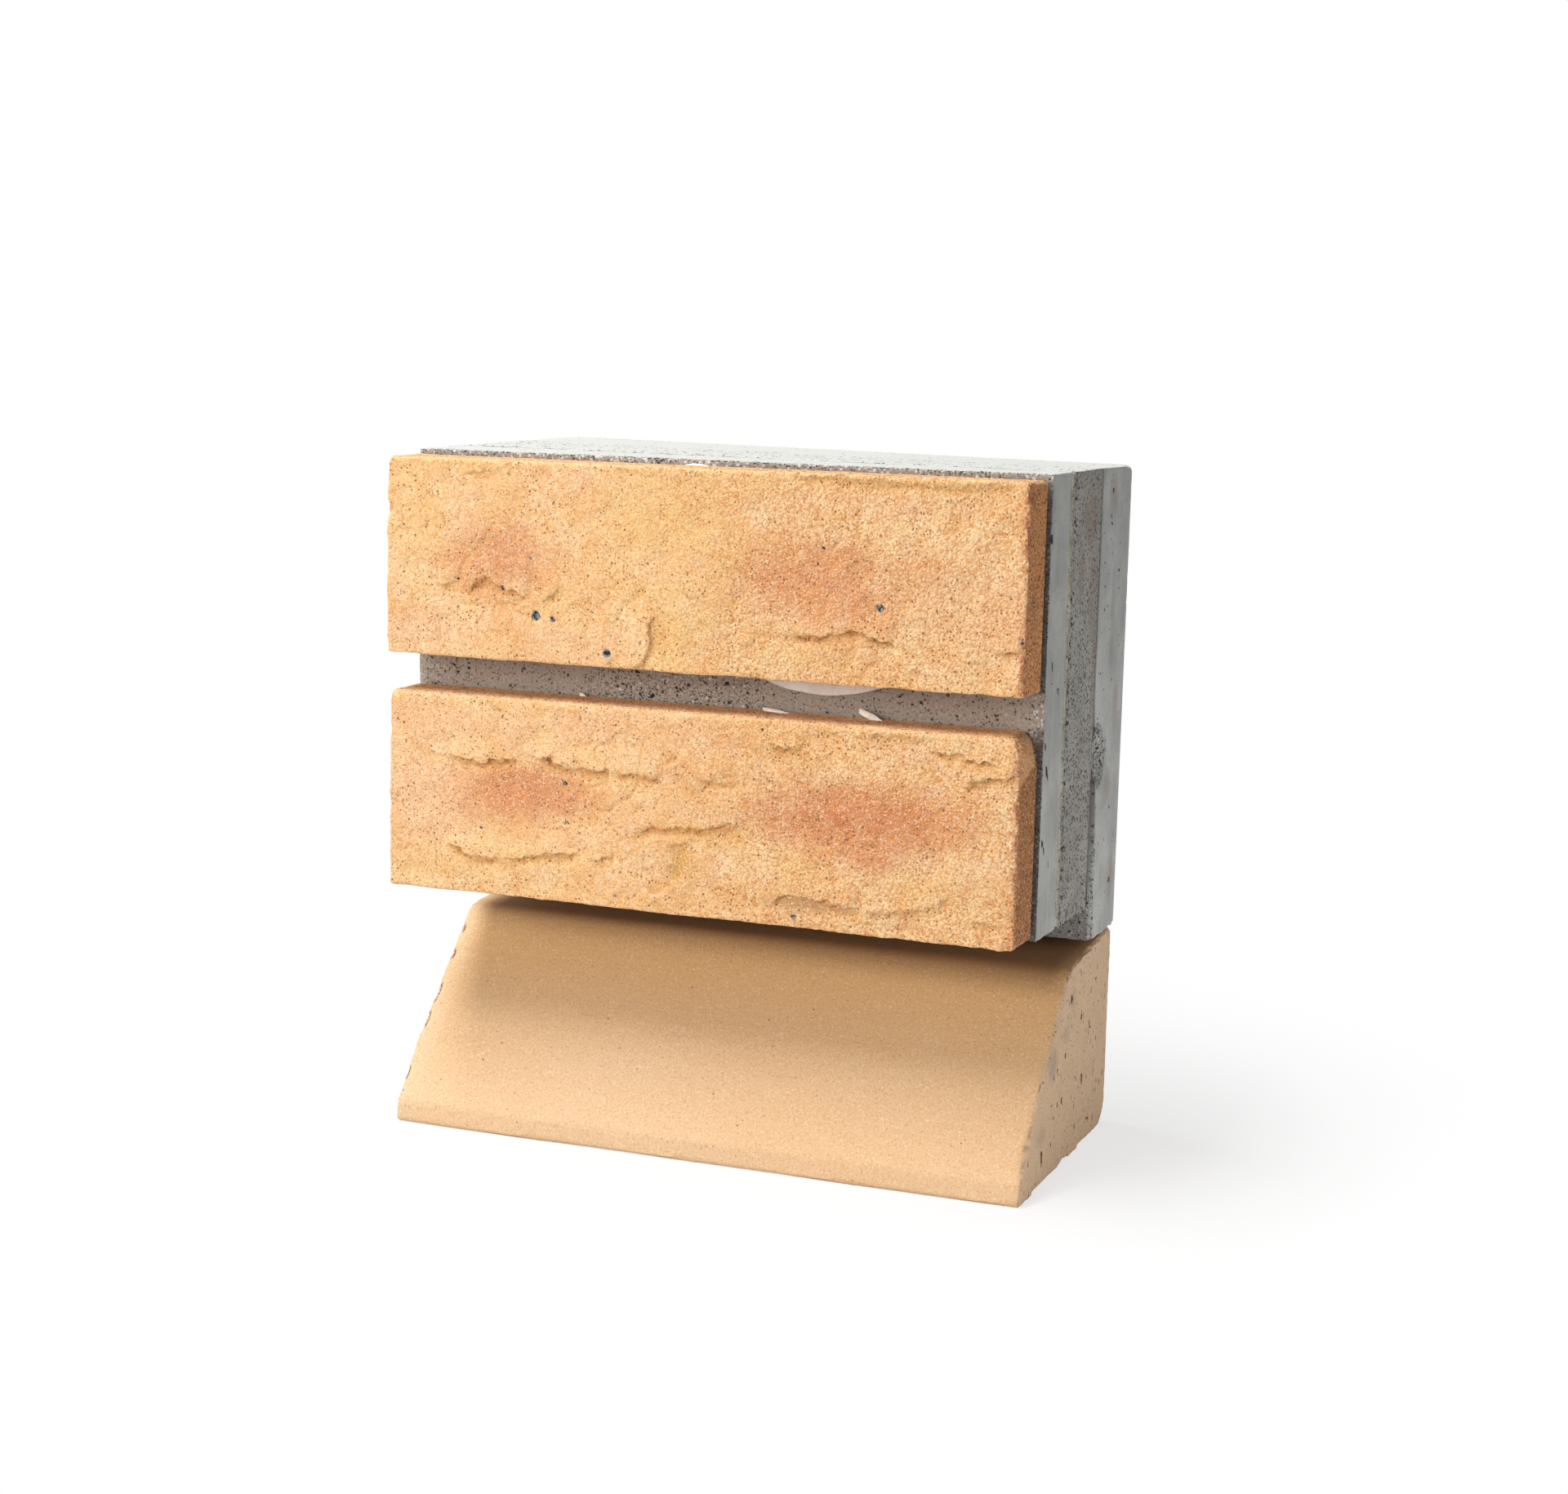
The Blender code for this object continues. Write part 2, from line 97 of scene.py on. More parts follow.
LOWER_FOLDS = (
    (((-97, 140.2), (-94, 138.6), (-89, 137.4), (-83.5, 136.6), (-81, 137.6), (-76, 138.4), (-67, 138.8)), 0.7, 0.7, 0.7),
    (((-62, 141), (-58, 140.4), (-53, 138.2), (-48, 137.4), (-43, 137.9), (-37, 137.2), (-31, 137.9)), 0.7, 0.7, 0.8),
    (((-31, 137.9), (-24, 137.6), (-20, 136.6), (-16, 137.1), (-12, 136.2)), 0.6, 0.7, 0.8),
    (((-13.5, 139.5), (-10, 141.6), (-7, 144.5), (-5, 147)), -0.4, 0.5, 0.7),
    (((2, 137.4), (8, 137.4), (12, 137.2), (15.5, 135.4)), 0.4, 0.4, 0.8),
    (((-20, 116), (-18.5, 118.5), (-14, 119.6), (-6, 120.2), (2, 120.4), (9, 121.8), (14, 122.6), (19, 124)), 1.1, 0.5, 1.1),
    (((-9, 113.6), (-4, 114.6), (1.5, 115.2)), 0.5, 0.3, 0.9),
    (((1, 115), (-0.5, 112), (-1.5, 109.5)), -0.5, 0.2, 0.9),
    (((-7, 102), (-8, 98.5), (-12, 97), (-15, 95.5), (-19, 97.5)), 0.5, 0.4, 0.9),
    (((-15, 95), (-11, 91.5), (-8, 90)), 0.4, 0.4, 0.9),
    (((-98, 107.4), (-94, 105.2), (-89, 103.2), (-82, 102.2), (-75, 102.4)), 0.7, 0.7, 0.8),
    (((-75, 102.4), (-68, 103.4), (-62, 104.9), (-56, 105.6), (-49, 106.2), (-44, 107.6)), 0.7, 0.6, 0.8),
    (((-41, 105), (-35, 106), (-29, 109)), 0.4, 0.3, 0.8),
    (((28.5, 154.5), (30, 151.4), (34, 151.2), (38.5, 151.8), (41.5, 154.3)), 0.6, 0.6, 0.7),
    (((87, 155.8), (90, 154.2), (95, 153.9), (101, 152.4), (106, 151.8), (110.5, 150.4)), 0.6, 0.7, 0.7),
    (((97, 142.6), (101, 144.6), (106, 147), (112, 147.6), (118, 148.6)), 0.7, 0.7, 0.7),
    (((62, 158), (72, 158.6), (80, 157.6), (86, 158.8)), 0.4, 0.3, 0.9),
    (((30, 95.5), (31.2, 98.5), (34, 100.2), (40, 100.4), (48, 99.2), (56, 98.8), (61, 97)), 0.8, 0.35, 0.9),
    (((64, 97), (74, 98), (84, 99.6), (90, 101.5), (93.5, 104.5), (95, 107)), 0.4, 0.3, 1.0),
    (((100, 97.4), (107, 97.4), (115, 97.2)), 0.3, 0.3, 1.0),
    (((63, 120.3), (66, 121), (69.5, 119.8)), 0.5, 0.4, 0.8),
    (((32.5, 90), (33, 94)), 0.2, 0.5, 0.9),
)

# Soft hollows of the faces: centre x and z, half width, half height, depth, and ochre share.
UPPER_HOLLOWS = (
    (-84, 200.4, 4.8, 2.4, 0.7, 0.7), (-14.3, 187, 3.4, 7.0, 0.5, 0.9), (-20, 176, 3.0, 2.0, 0.4, 0.6),
    (42, 189.0, 8.5, 1.7, 0.8, 0.9), (58, 192.4, 1.4, 1.1, 0.6, 0.8), (75, 242.0, 32, 1.3, 0.3, 0.5),
    (-121.5, 226.3, 1.6, 1.4, 1.2, 0.6), (-75, 194.0, 5.0, 1.2, 0.2, 0.5), (-27, 184, 5.0, 6.0, 0.3, 0.3),
    (112, 188.6, 6.0, 0.9, 0.3, 0.4), (5, 209, 6.0, 5.0, 0.2, 0.4),
)
LOWER_HOLLOWS = (
    (-85, 136.2, 4.4, 1.3, 0.6, 0.9), (-50, 136.2, 3.0, 1.5, 0.6, 0.9), (-40.5, 135.8, 2.0, 2.0, 0.6, 0.9),
    (-27, 136.3, 5.0, 1.6, 0.6, 0.9), (-15, 136.0, 3.2, 1.2, 0.6, 0.9), (12, 136.4, 4.2, 1.2, 0.5, 0.9),
    (-14, 118.1, 6.0, 1.6, 0.7, 0.9), (0, 118.8, 9.0, 1.5, 0.6, 0.8), (14.5, 119.8, 4.2, 2.5, 0.8, 1.0),
    (-4.2, 109.5, 3.2, 5.0, 0.7, 0.9), (-6, 103.8, 2.0, 2.6, 0.7, 1.0), (-82, 100.9, 6.5, 1.3, 0.6, 0.9),
    (-58, 104.4, 5.5, 1.2, 0.5, 0.8), (103, 144.0, 4.0, 1.5, 0.5, 0.8), (60.5, 95.6, 3.0, 2.0, 0.6, 0.9),
    (89, 153.4, 2.2, 0.9, 0.5, 0.8), (-19, 115.6, 1.6, 1.2, 0.5, 1.0), (-49.5, 131.2, 1.4, 1.6, 0.5, 0.8),
    (47, 97.2, 13.0, 2.2, 0.5, 0.3), (35, 150.4, 4.5, 0.8, 0.3, 0.5), (-34, 108.4, 7.0, 1.4, 0.2, 0.4),
    (107, 96.4, 9.0, 1.0, 0.3, 0.6), (78, 92.6, 4.0, 1.0, 0.3, 0.6), (10, 98, 8.0, 5.0, 0.3, 0.3),
)

# Iron spots and burnt-out holes: centre x and z, radius, depth.
UPPER_PITS = (
    (-62, 191, 1.75, 1.5), (-55, 190.2, 1.05, 0.9), (-34, 179.5, 1.55, 1.3), (67, 201.2, 1.4, 0.9),
    (-75, 200.2, 1.0, 0.7), (-93, 202.5, 0.55, 0.5), (-64, 211.2, 0.6, 0.5), (-40, 193.6, 0.5, 0.4),
    (46.2, 220.3, 0.55, 0.4), (44.3, 215, 0.5, 0.4), (35.2, 206.4, 0.45, 0.4), (3, 237.5, 0.5, 0.4),
    (117.0, 192.6, 0.8, 0.6),
)
LOWER_PITS = (
    (38.5, 93.1, 0.95, 0.8), (-49, 118.2, 0.65, 0.5), (-83, 113.2, 0.55, 0.5), (-49.8, 132, 0.8, 0.7),
    (-93.5, 109.5, 0.5, 0.4), (91.5, 104, 0.5, 0.4), (-29.5, 93.5, 0.6, 0.5), (25.5, 157.2, 0.55, 0.5),
)

# Flame marks: centre x and z, half width, half height, strength.
UPPER_SCORCH = ((-77, 210, 20, 12, 0.7), (46, 209, 27, 14, 0.7), (79, 214, 12, 9, 0.3), (60, 198, 14, 6, 0.34))
LOWER_SCORCH = (
    (-66, 128, 24, 10, 0.9), (62, 128, 36, 12, 1.0), (66, 115, 9, 5, 0.8), (-82, 121, 14, 6, 0.4),
    (5, 132, 36, 18, 0.2), (-20, 152, 60, 9, 0.14),
)
UPPER_ASH = ()
LOWER_ASH = ((45, 97.4, 15, 2.6, 1.0), (72, 95.5, 12, 3.0, 0.4), (-4, 104, 5, 6, 0.35))

# Yellower and pinker patches of the ground: centre x and z, half width, half height, strength.
UPPER_YELLOW = (
    (-15, 228, 20, 14, 0.8), (12, 240, 22, 5, 0.6), (-112, 226, 11, 18, 0.5), (-56, 197, 9, 6, 0.7),
    (-10, 185, 8, 10, 0.9), (-20, 202, 22, 4, 0.6), (-88, 243, 12, 3, 0.6), (70, 242, 40, 3, 0.8),
    (14, 214, 7, 9, 0.5), (48, 184, 30, 6, 0.3), (5, 196, 8, 7, 0.4),
)
LOWER_YELLOW = (
    (2, 131, 15, 4, 0.5), (3, 118, 17, 4, 0.9), (38, 110, 8, 5, 0.7), (84, 107, 10, 5, 0.6), (-92, 99, 22, 4, 0.5),
    (45, 153, 25, 6, 0.3), (-3, 106, 5, 8, 0.8), (10, 137, 9, 2, 0.7), (-22, 134, 10, 3, 0.5), (-60, 104, 20, 3, 0.5),
    (100, 104, 12, 5, 0.5), (-22, 92, 8, 3, 0.5), (-108, 112, 9, 14, 0.3),
)
UPPER_PINK = ((-105, 183, 18, 7, 0.9), (-45, 181, 20, 6, 0.4), (100, 203, 24, 18, 0.4), (55, 236, 40, 5, 0.3))
LOWER_PINK = ((-104, 122, 16, 16, 0.8), (-100, 149, 20, 9, 0.6), (-25, 153, 28, 6, 0.4), (109, 120, 9, 22, 0.15), (-45, 112, 12, 5, 0.4))

# How far from a crease, in millimetres, its distance is kept on the mesh.
CREASE_REACH = 2.5

# Scars of the slips' right ends: centre y and z, half depth, half height, depth.
UPPER_END_SCARS = ((-52.5, 240.5, 3.2, 3.6, 1.0), (-56.8, 226, 1.6, 3.0, 0.5), (-50, 204, 3.0, 6.0, 0.3))
LOWER_END_SCARS = ((-54.5, 150.5, 3.0, 6.0, 0.4), (-45, 100, 4.0, 5.0, 0.3))

# The lower slip's right end leans in at its top: the heights where that starts at the front and at
# the rear, and millimetres in for each millimetre up. The lean fades out along the slip.
LOWER_END_LEAN = (157.5, 149.5, 0.26)
END_LEAN_REACH = 12.0

# Above this height, at the front and at the rear, the lower slip's right end is split like its face.
LOWER_END_FACET = (143.0, 152.0)

# More worn corners of the slips: x, z, reach of the wear and its extra radius.
UPPER_CORNERS = ((118, 245.5, 8, 1.0), (-122, 245.5, 6, 0.6), (-121.5, 226.3, 4, 1.4))
LOWER_CORNERS = ((118, 161.5, 11, 2.2), (-121.5, 161.5, 10, 0.5), (118, 88, 7, 1.2), (109, 88, 4, 0.8))

UPPER_SLIP = {
    "folds": UPPER_FOLDS, "hollows": UPPER_HOLLOWS, "pits": UPPER_PITS, "corners": UPPER_CORNERS, "top_wear": 0.3,
    "scorch": UPPER_SCORCH, "ash": UPPER_ASH, "yellow": UPPER_YELLOW, "pink": UPPER_PINK,
    "end_scars": UPPER_END_SCARS,
}
LOWER_SLIP = {
    "folds": LOWER_FOLDS, "hollows": LOWER_HOLLOWS, "pits": LOWER_PITS, "corners": LOWER_CORNERS, "top_wear": 1.2,
    "scorch": LOWER_SCORCH, "ash": LOWER_ASH, "yellow": LOWER_YELLOW, "pink": LOWER_PINK,
    # The lower slip's end_tone is painted shade over its whole end.
    "end_scars": LOWER_END_SCARS, "end_lean": LOWER_END_LEAN, "end_facet": LOWER_END_FACET, "end_tone": 1.0,
    "torn": 0.9,
}

# Air holes on the right ends of the boards, y and z, radius, depth.
FRONT_BOARD_PITS = (
    (-35.5, 226, 1.9, 1.4), (-33.2, 227.4, 1.0, 0.9), (-29, 182.6, 1.1, 0.9), (-21, 173, 1.2, 0.9), (-34, 156, 1.2, 1.0),
    (-31.5, 147, 1.3, 1.0), (-30, 145, 1.1, 0.8), (-33.5, 121.4, 1.4, 1.0), (-31, 119.6, 1.2, 0.9), (-28.4, 121, 0.7, 0.5),
    (-12.5, 195, 1.2, 0.8), (-14, 239, 1.2, 0.7), (-25, 113, 0.7, 0.4), (-24, 234, 0.6, 0.4), (-18, 204, 0.7, 0.4),
)
REAR_BOARD_PITS = (
    (49, 95, 1.3, 0.8), (36, 239, 1.1, 0.4), (36, 227, 1.0, 0.4), (45, 210, 0.8, 0.3), (42, 170, 0.7, 0.3),
    (28, 150, 1.3, 0.9), (30, 152.5, 0.9, 0.6), (27.5, 138.5, 1.2, 0.8), (29.5, 135.5, 0.9, 0.6), (32.5, 146, 0.8, 0.5),
    (34, 141.5, 0.6, 0.4), (45, 123, 0.6, 0.3), (39, 112, 0.6, 0.3), (50, 182, 0.6, 0.3), (31, 205, 0.6, 0.3),
)

# Damage of the rear board's right end: the hollow's y, z, radius and depth, the height where the
# broken arris starts, its width and depth at the foot, and how far the front arris is worn back
# higher up, over what width. Stains: y, z, half sizes, strength.
REAR_HOLLOW = (26.7, 144.5, 11.0, 2.8)
WEDGE_TOP = 150.0
WEDGE_FOOT = (3.4, 1.2)
REAR_FLUSH = (1.7, 20.0)
REAR_STAINS = ((47, 160, 3, 9, 0.5), (40, 131, 4, 6, 0.4), (36, 238, 4, 7, 0.5), (50, 97, 4, 8, 0.5), (40, 190, 2, 20, 0.3))
MIDDLE_STAINS = ((12, 230, 8, 9, 0.6), (2, 212, 4, 8, 0.5), (17, 205, 4, 16, 0.4), (8, 150, 6, 9, 0.25), (22, 175, 2, 20, 0.6))

# Slivers of adhesive on the lower slip's top: both ends (x, y, z), width and curl.
FLAKES = (
    ((18.0, -39.6, 161.6), (28.5, -41.5, 160.9), 1.2, -0.6),
    ((53.6, -38.6, 163.4), (63.2, -41.8, 160.9), 2.2, -0.9),
    ((-53.6, -38.8, 161.6), (-50.8, -39.6, 160.9), 1.4, -0.4),
)

# Air holes on the sill's right end, y and z, radius, depth, and how much taller than wide.
SILL_PITS = (
    (-27, 9.5, 1.7, 2.0, 1.9), (-34, 2.6, 0.9, 0.9, 1.0), (-46.5, 19, 1.6, 0.9, 0.7), (-44.5, 12.8, 0.9, 0.7, 1.0),
    (-15.5, 11.7, 0.9, 0.9, 1.0), (-9, 24.2, 0.8, 0.6, 1.0), (-3, 24.4, 1.1, 0.7, 1.3), (-16, 25.8, 0.7, 0.5, 1.0),
    (21, 49, 1.2, 1.0, 1.0), (-14.3, 35.4, 1.1, 0.9, 1.2), (0.2, 39.8, 1.0, 0.8, 1.2), (33.5, 42.8, 0.9, 0.8, 1.0),
    (32, 41, 0.9, 0.8, 1.0), (40, 59.5, 0.8, 0.7, 1.3), (9, 70.5, 0.7, 0.5, 1.0), (24, 25.5, 1.0, 0.6, 2.4),
    (33.5, 8.1, 0.8, 0.6, 1.0), (16.5, 9.6, 0.7, 0.5, 1.5), (44.5, 49.7, 0.8, 0.5, 1.0), (-10, 36.4, 1.0, 0.5, 1.4),
    (6, 59, 1.2, 0.4, 1.6), (-13, 20.3, 0.7, 0.4, 1.0), (45.5, 19, 0.7, 0.4, 1.0), (19.5, 23.6, 0.8, 0.3, 1.4),
)
LEFT_CHIPS = ((63.1, 1.2, 0.9), (54.6, 2.0, 1.1), (42.3, 3.0, 1.5), (33.5, 2.7, 1.5), (17.0, 2.4, 0.7))
SILL_CRACKS = (
    (((-58, 41.5), (-54, 41.2), (-50, 41.8), (-44, 41.3)), 0.4), (((-22, 38.6), (-14, 38.2), (-6, 38.8)), 0.35),
    (((-97, 51), (-93, 49.5), (-88, 49.9), (-82, 48.8)), 0.35), (((-108, 30), (-103, 29.6), (-98, 30.2)), 0.25),
    (((20, 30.5), (30, 30.1), (37, 30.6)), 0.25), (((52, 45), (60, 44.6)), 0.25),
)
SILL_STAINS = ((-17, 41, 6.0, 5.0, 0.6), (0, 47.5, 4.5, 3.0, 0.35), (8, 58.5, 4.0, 3.5, 0.35), (-29, 18, 5.0, 3.0, 0.3))


def srgb(red, green, blue):
    """A colour given as 0 to 255 paint values, as the linear values that the shaders take."""
    linear = []
    for value in (red, green, blue):
        share = value / 255.0
        linear.append(share / 12.92 if share <= 0.04045 else ((share + 0.055) / 1.055) ** 2.4)
    return (*linear, 1.0)


def colour(name, description, value):
    return FloatVectorProperty(
        name=name, description=description, default=value, size=4, subtype="COLOR", min=0.0, max=1.0
    )


def length(name, description, millimetres):
    return FloatProperty(name=name, description=description, default=millimetres * MM, min=0.0, unit="LENGTH")


class SlipSettings(bpy.types.PropertyGroup):
    """Sizes and colours of the split-face brick slips."""

    spacing: length("Grid spacing", "Size of the squares that carry the relief", 0.56)
    waviness: length("Waviness", "Height of the broad waves of the face", 0.45)
    grain: length("Grain", "Height of the sandy grain", 0.14)
    arris: length("Worn arris", "Radius of the worn edges", 0.9)
    cream: colour("Cream", "Pale ground of the face", srgb(247, 207, 150))
    apricot: colour("Apricot", "Warmer clouds of the face", srgb(242, 190, 131))
    ochre: colour("Ochre", "Yellow clay laid bare in folds", srgb(218, 158, 72))
    yellow: colour("Yellow", "Smoother, yellower patches", srgb(238, 193, 122))
    pink: colour("Pink", "Paler, pinker patches", srgb(246, 200, 156))
    scorch: colour("Scorch", "Flame marks", srgb(210, 128, 82))
    iron: colour("Iron spot", "Burnt-out iron spots", srgb(50, 50, 54))
    speck: colour("Speck", "Dark grains", srgb(158, 92, 60))
    end: colour("Sawn end", "Ends and beds of the slips", srgb(240, 156, 87))


class BoardSettings(bpy.types.PropertyGroup):
    """Sizes and colours of the cement boards and their bonding layer."""

    smooth_grey: colour("Smooth grey", "Trowelled ends of the pale boards", srgb(194, 194, 190))
    rear_grey: colour("Rear grey", "Lighter rear board", srgb(201, 202, 198))
    dust: colour("Dusty top", "Pale tops of the boards", srgb(214, 214, 209))
    dark_grey: colour("Dark grey", "Speckled middle board", srgb(186, 183, 176))
    porous: colour("Porous grey", "Open face of the front board", srgb(171, 158, 142))
    # Painted shade: the inside of the air holes and pores is painted dark.
    hole: colour("Air hole", "Inside of the air holes", srgb(52, 48, 46))
    rust: colour("Brown stain", "Brownish and pinkish stains of the ends", srgb(150, 116, 96))
    bond: colour("Bonding layer", "Pale yellow bonding layer", srgb(212, 206, 182))
    adhesive: colour("Adhesive", "Dabs of adhesive", srgb(252, 249, 242))


class SillSettings(bpy.types.PropertyGroup):
    """Sizes and colours of the sill brick."""

    voxel: length("Grid spacing", "Size of the squares that carry the relief", 1.05)
    waviness: length("Waviness", "Height of the broad waves of the faces", 0.2)
    sand: colour("Sand", "Smooth extruded faces", srgb(229, 191, 148))
    tan: colour("Tan", "Darker clouds of the faces", srgb(228, 185, 139))
    # Painted shade: the slope is painted warmer and darker towards its top, under the panel's overhang.
    top_shade_tone: colour("Toasted", "Warmer tone towards the top", srgb(224, 176, 120))
    # Painted shade: the ledge under the panel is painted darker where the panel shades it.
    dusk: colour("Sheltered ledge", "Darker ledge under the panel", srgb(126, 82, 48))
    cut: colour("Cut end", "Greyish cut ends", srgb(238, 204, 168))
    stain: colour("Stain", "Grey stains of the cut end", srgb(142, 132, 122))
    # Painted shade: the inside of the air holes is painted dark.
    hole: colour("Air hole", "Inside of the air holes", srgb(84, 50, 30))


class StageSettings(bpy.types.PropertyGroup):
    """Lights, floor and camera."""

    overhead: FloatProperty(name="Overhead light", description="Light level right below the lamp", default=1.31)
    front: FloatProperty(name="Front light", description="Light level from the front left", default=0.58)
    low_right: FloatProperty(name="Low right light", description="Light level at the foot of the right end", default=0.34)
    sky: FloatProperty(name="Sky", description="Strength of the even light from all around", default=0.15)
    lens: FloatProperty(name="Focal length", description="Focal length of the camera", default=61.23)


def deselect_all():
    if bpy.context.object and bpy.context.object.mode != "OBJECT":
        bpy.ops.object.mode_set(mode="OBJECT")
    bpy.ops.object.select_all(action="DESELECT")


def make_active(obj):
    deselect_all()
    obj.select_set(True)
    bpy.context.view_layer.objects.active = obj


def apply_modifiers(obj):
    make_active(obj)
    for modifier in list(obj.modifiers):
        bpy.ops.object.modifier_apply(modifier=modifier.name)


def add_block(name, low, high):
    """A cube primitive stretched to a box, with its place in its mesh."""
    deselect_all()
    middle = (low + high) / 2.0
    bpy.ops.mesh.primitive_cube_add(size=1.0, location=middle)
    block = bpy.context.object
    block.name = name
    block.data.name = name
    block.scale = high - low
    bpy.ops.object.transform_apply(location=True, rotation=True, scale=True)
    return block


def select_edges(bm, axis, start, stop):
    """Selects the edges that run along an axis between two stops."""
    reach = 1e-6
    for edge in bm.edges:
        first, second = (vert.co for vert in edge.verts)
        run = second - first
        along = abs(run[axis]) > 0.999 * run.length
        inside = min(first[axis], second[axis]) > start - reach and max(first[axis], second[axis]) < stop + reach
        edge.select_set(along and inside)


def divide(block, axis, stops, spacings):
    """Cuts a block across an axis: one zone of even cuts between each pair of stops."""
    normal = Vector((0.0, 0.0, 0.0))
    normal[axis] = 1.0
    make_active(block)
    bpy.ops.object.mode_set(mode="EDIT")
    bpy.ops.mesh.select_mode(type="EDGE")
    for stop in stops[1:-1]:
        bpy.ops.mesh.select_all(action="SELECT")
        bpy.ops.mesh.bisect(plane_co=normal * stop, plane_no=normal)
    bm = bmesh.from_edit_mesh(block.data)
    for start, stop, spacing in zip(stops, stops[1:], spacings):
        pieces = max(1, round((stop - start) / spacing))
        outer = max(1, round(math.sqrt(pieces)))
        for cuts in (outer - 1, round(pieces / outer) - 1):
            if cuts > 0:
                select_edges(bm, axis, start, stop)
                bmesh.update_edit_mesh(block.data)
                bpy.ops.mesh.subdivide(number_cuts=cuts)
                bm = bmesh.from_edit_mesh(block.data)
    bpy.ops.object.mode_set(mode="OBJECT")


def merge_flat_side(block, axis, place):
    """Joins the squares of a hidden flat side into one face."""
    make_active(block)
    bpy.ops.object.mode_set(mode="EDIT")
    bpy.ops.mesh.select_mode(type="FACE")
    bpy.ops.mesh.select_all(action="DESELECT")
    bm = bmesh.from_edit_mesh(block.data)
    for face in bm.faces:
        face.select_set(all(abs(vert.co[axis] - place) < 1e-6 for vert in face.verts))
    bmesh.update_edit_mesh(block.data)
    bpy.ops.mesh.dissolve_faces()
    bpy.ops.object.mode_set(mode="OBJECT")


def points_of(obj):
    co = np.zeros(len(obj.data.vertices) * 3)
    obj.data.vertices.foreach_get("co", co)
    return co.reshape(-1, 3) / MM


def move_points(obj, points):
    obj.data.vertices.foreach_set("co", (points * MM).ravel())
    obj.data.update()


def normals_of(obj):
    normals = np.zeros(len(obj.data.vertices) * 3)
    obj.data.vertices.foreach_get("normal", normals)
    return normals.reshape(-1, 3)


def paint(obj, name, values):
    """Keeps one number a point on the mesh, for the material to read."""
    layer = obj.data.attributes.new(name, "FLOAT", "POINT")
    layer.data.foreach_set("value", np.clip(values, 0.0, 1.0).astype(np.float32))


def finish_mesh(obj, smooth_angle=40.0):
    make_active(obj)
    bpy.ops.object.shade_smooth_by_angle(angle=math.radians(smooth_angle))


def waves(points, size, octaves=1, seed=0.0):
    """Smooth noise between about -1 and 1 whose bumps are about size millimetres wide."""
    shift = Vector((17.3, 5.1, 9.7)) * seed
    scaled = points / np.asarray(size)
    return np.array([noise.fractal(Vector(p) + shift, 1.0, 2.0, octaves) for p in scaled.tolist()])


def soft_step(values, start, stop):
    share = np.clip((values - start) / (stop - start), 0.0, 1.0)
    return share * share * (3.0 - 2.0 * share)


def beside_path(flat, path, fade):
    """Distance to a path, positive on its left, and a share that fades out at the path's ends."""
    path = np.array(path, float)
    starts, runs = path[:-1], path[1:] - path[:-1]
    lengths = np.linalg.norm(runs, axis=1)
    before = np.concatenate(([0.0], np.cumsum(lengths)[:-1]))
    offset = flat[:, None, :] - starts[None]
    share = np.clip((offset * runs).sum(2) / lengths ** 2, 0.0, 1.0)
    gap = offset - share[..., None] * runs
    distance = np.linalg.norm(gap, axis=2)
    nearest = distance.argmin(1)
    row = np.arange(len(flat))
    turn = runs[nearest, 0] * gap[row, nearest, 1] - runs[nearest, 1] * gap[row, nearest, 0]
    travelled = before[nearest] + share[row, nearest] * lengths[nearest]
    left_over = np.minimum(travelled, lengths.sum() - travelled)
    return np.sign(turn) * distance[row, nearest], soft_step(left_over, 0.0, fade)


def oval(flat, x, z, half_width, half_height):
    """0 at an oval's centre, 1 on its rim."""
    return np.hypot((flat[:, 0] - x) / half_width, (flat[:, 1] - z) / half_height)


def round_edges(points, low, high, radius):
    """Wears the edges of a box, all but those of its back, to a radius given for each point."""
    inner_low = low + radius[:, None]
    inner_high = high - radius[:, None]
    inner_high[:, 1] = high[1]
    core = np.clip(points, inner_low, inner_high)
    out = points - core
    reach = np.linalg.norm(out, axis=1)
    reach[reach == 0.0] = 1.0
    return core + out / reach[:, None] * radius[:, None]


def keep_crease(layers, near, side, depth):
    """Marks a crease by its signed distance, so that the material can draw it finer than the grid."""
    rows = np.flatnonzero(near)
    depth = depth * soft_step(np.abs(side), CREASE_REACH, 0.6 * CREASE_REACH)
    deeper = depth > layers["crease_depth"][rows]
    layers["crease"][rows[deeper]] = 0.5 + side[deeper] / (2.0 * CREASE_REACH)
    layers["crease_depth"][rows[deeper]] = depth[deeper]


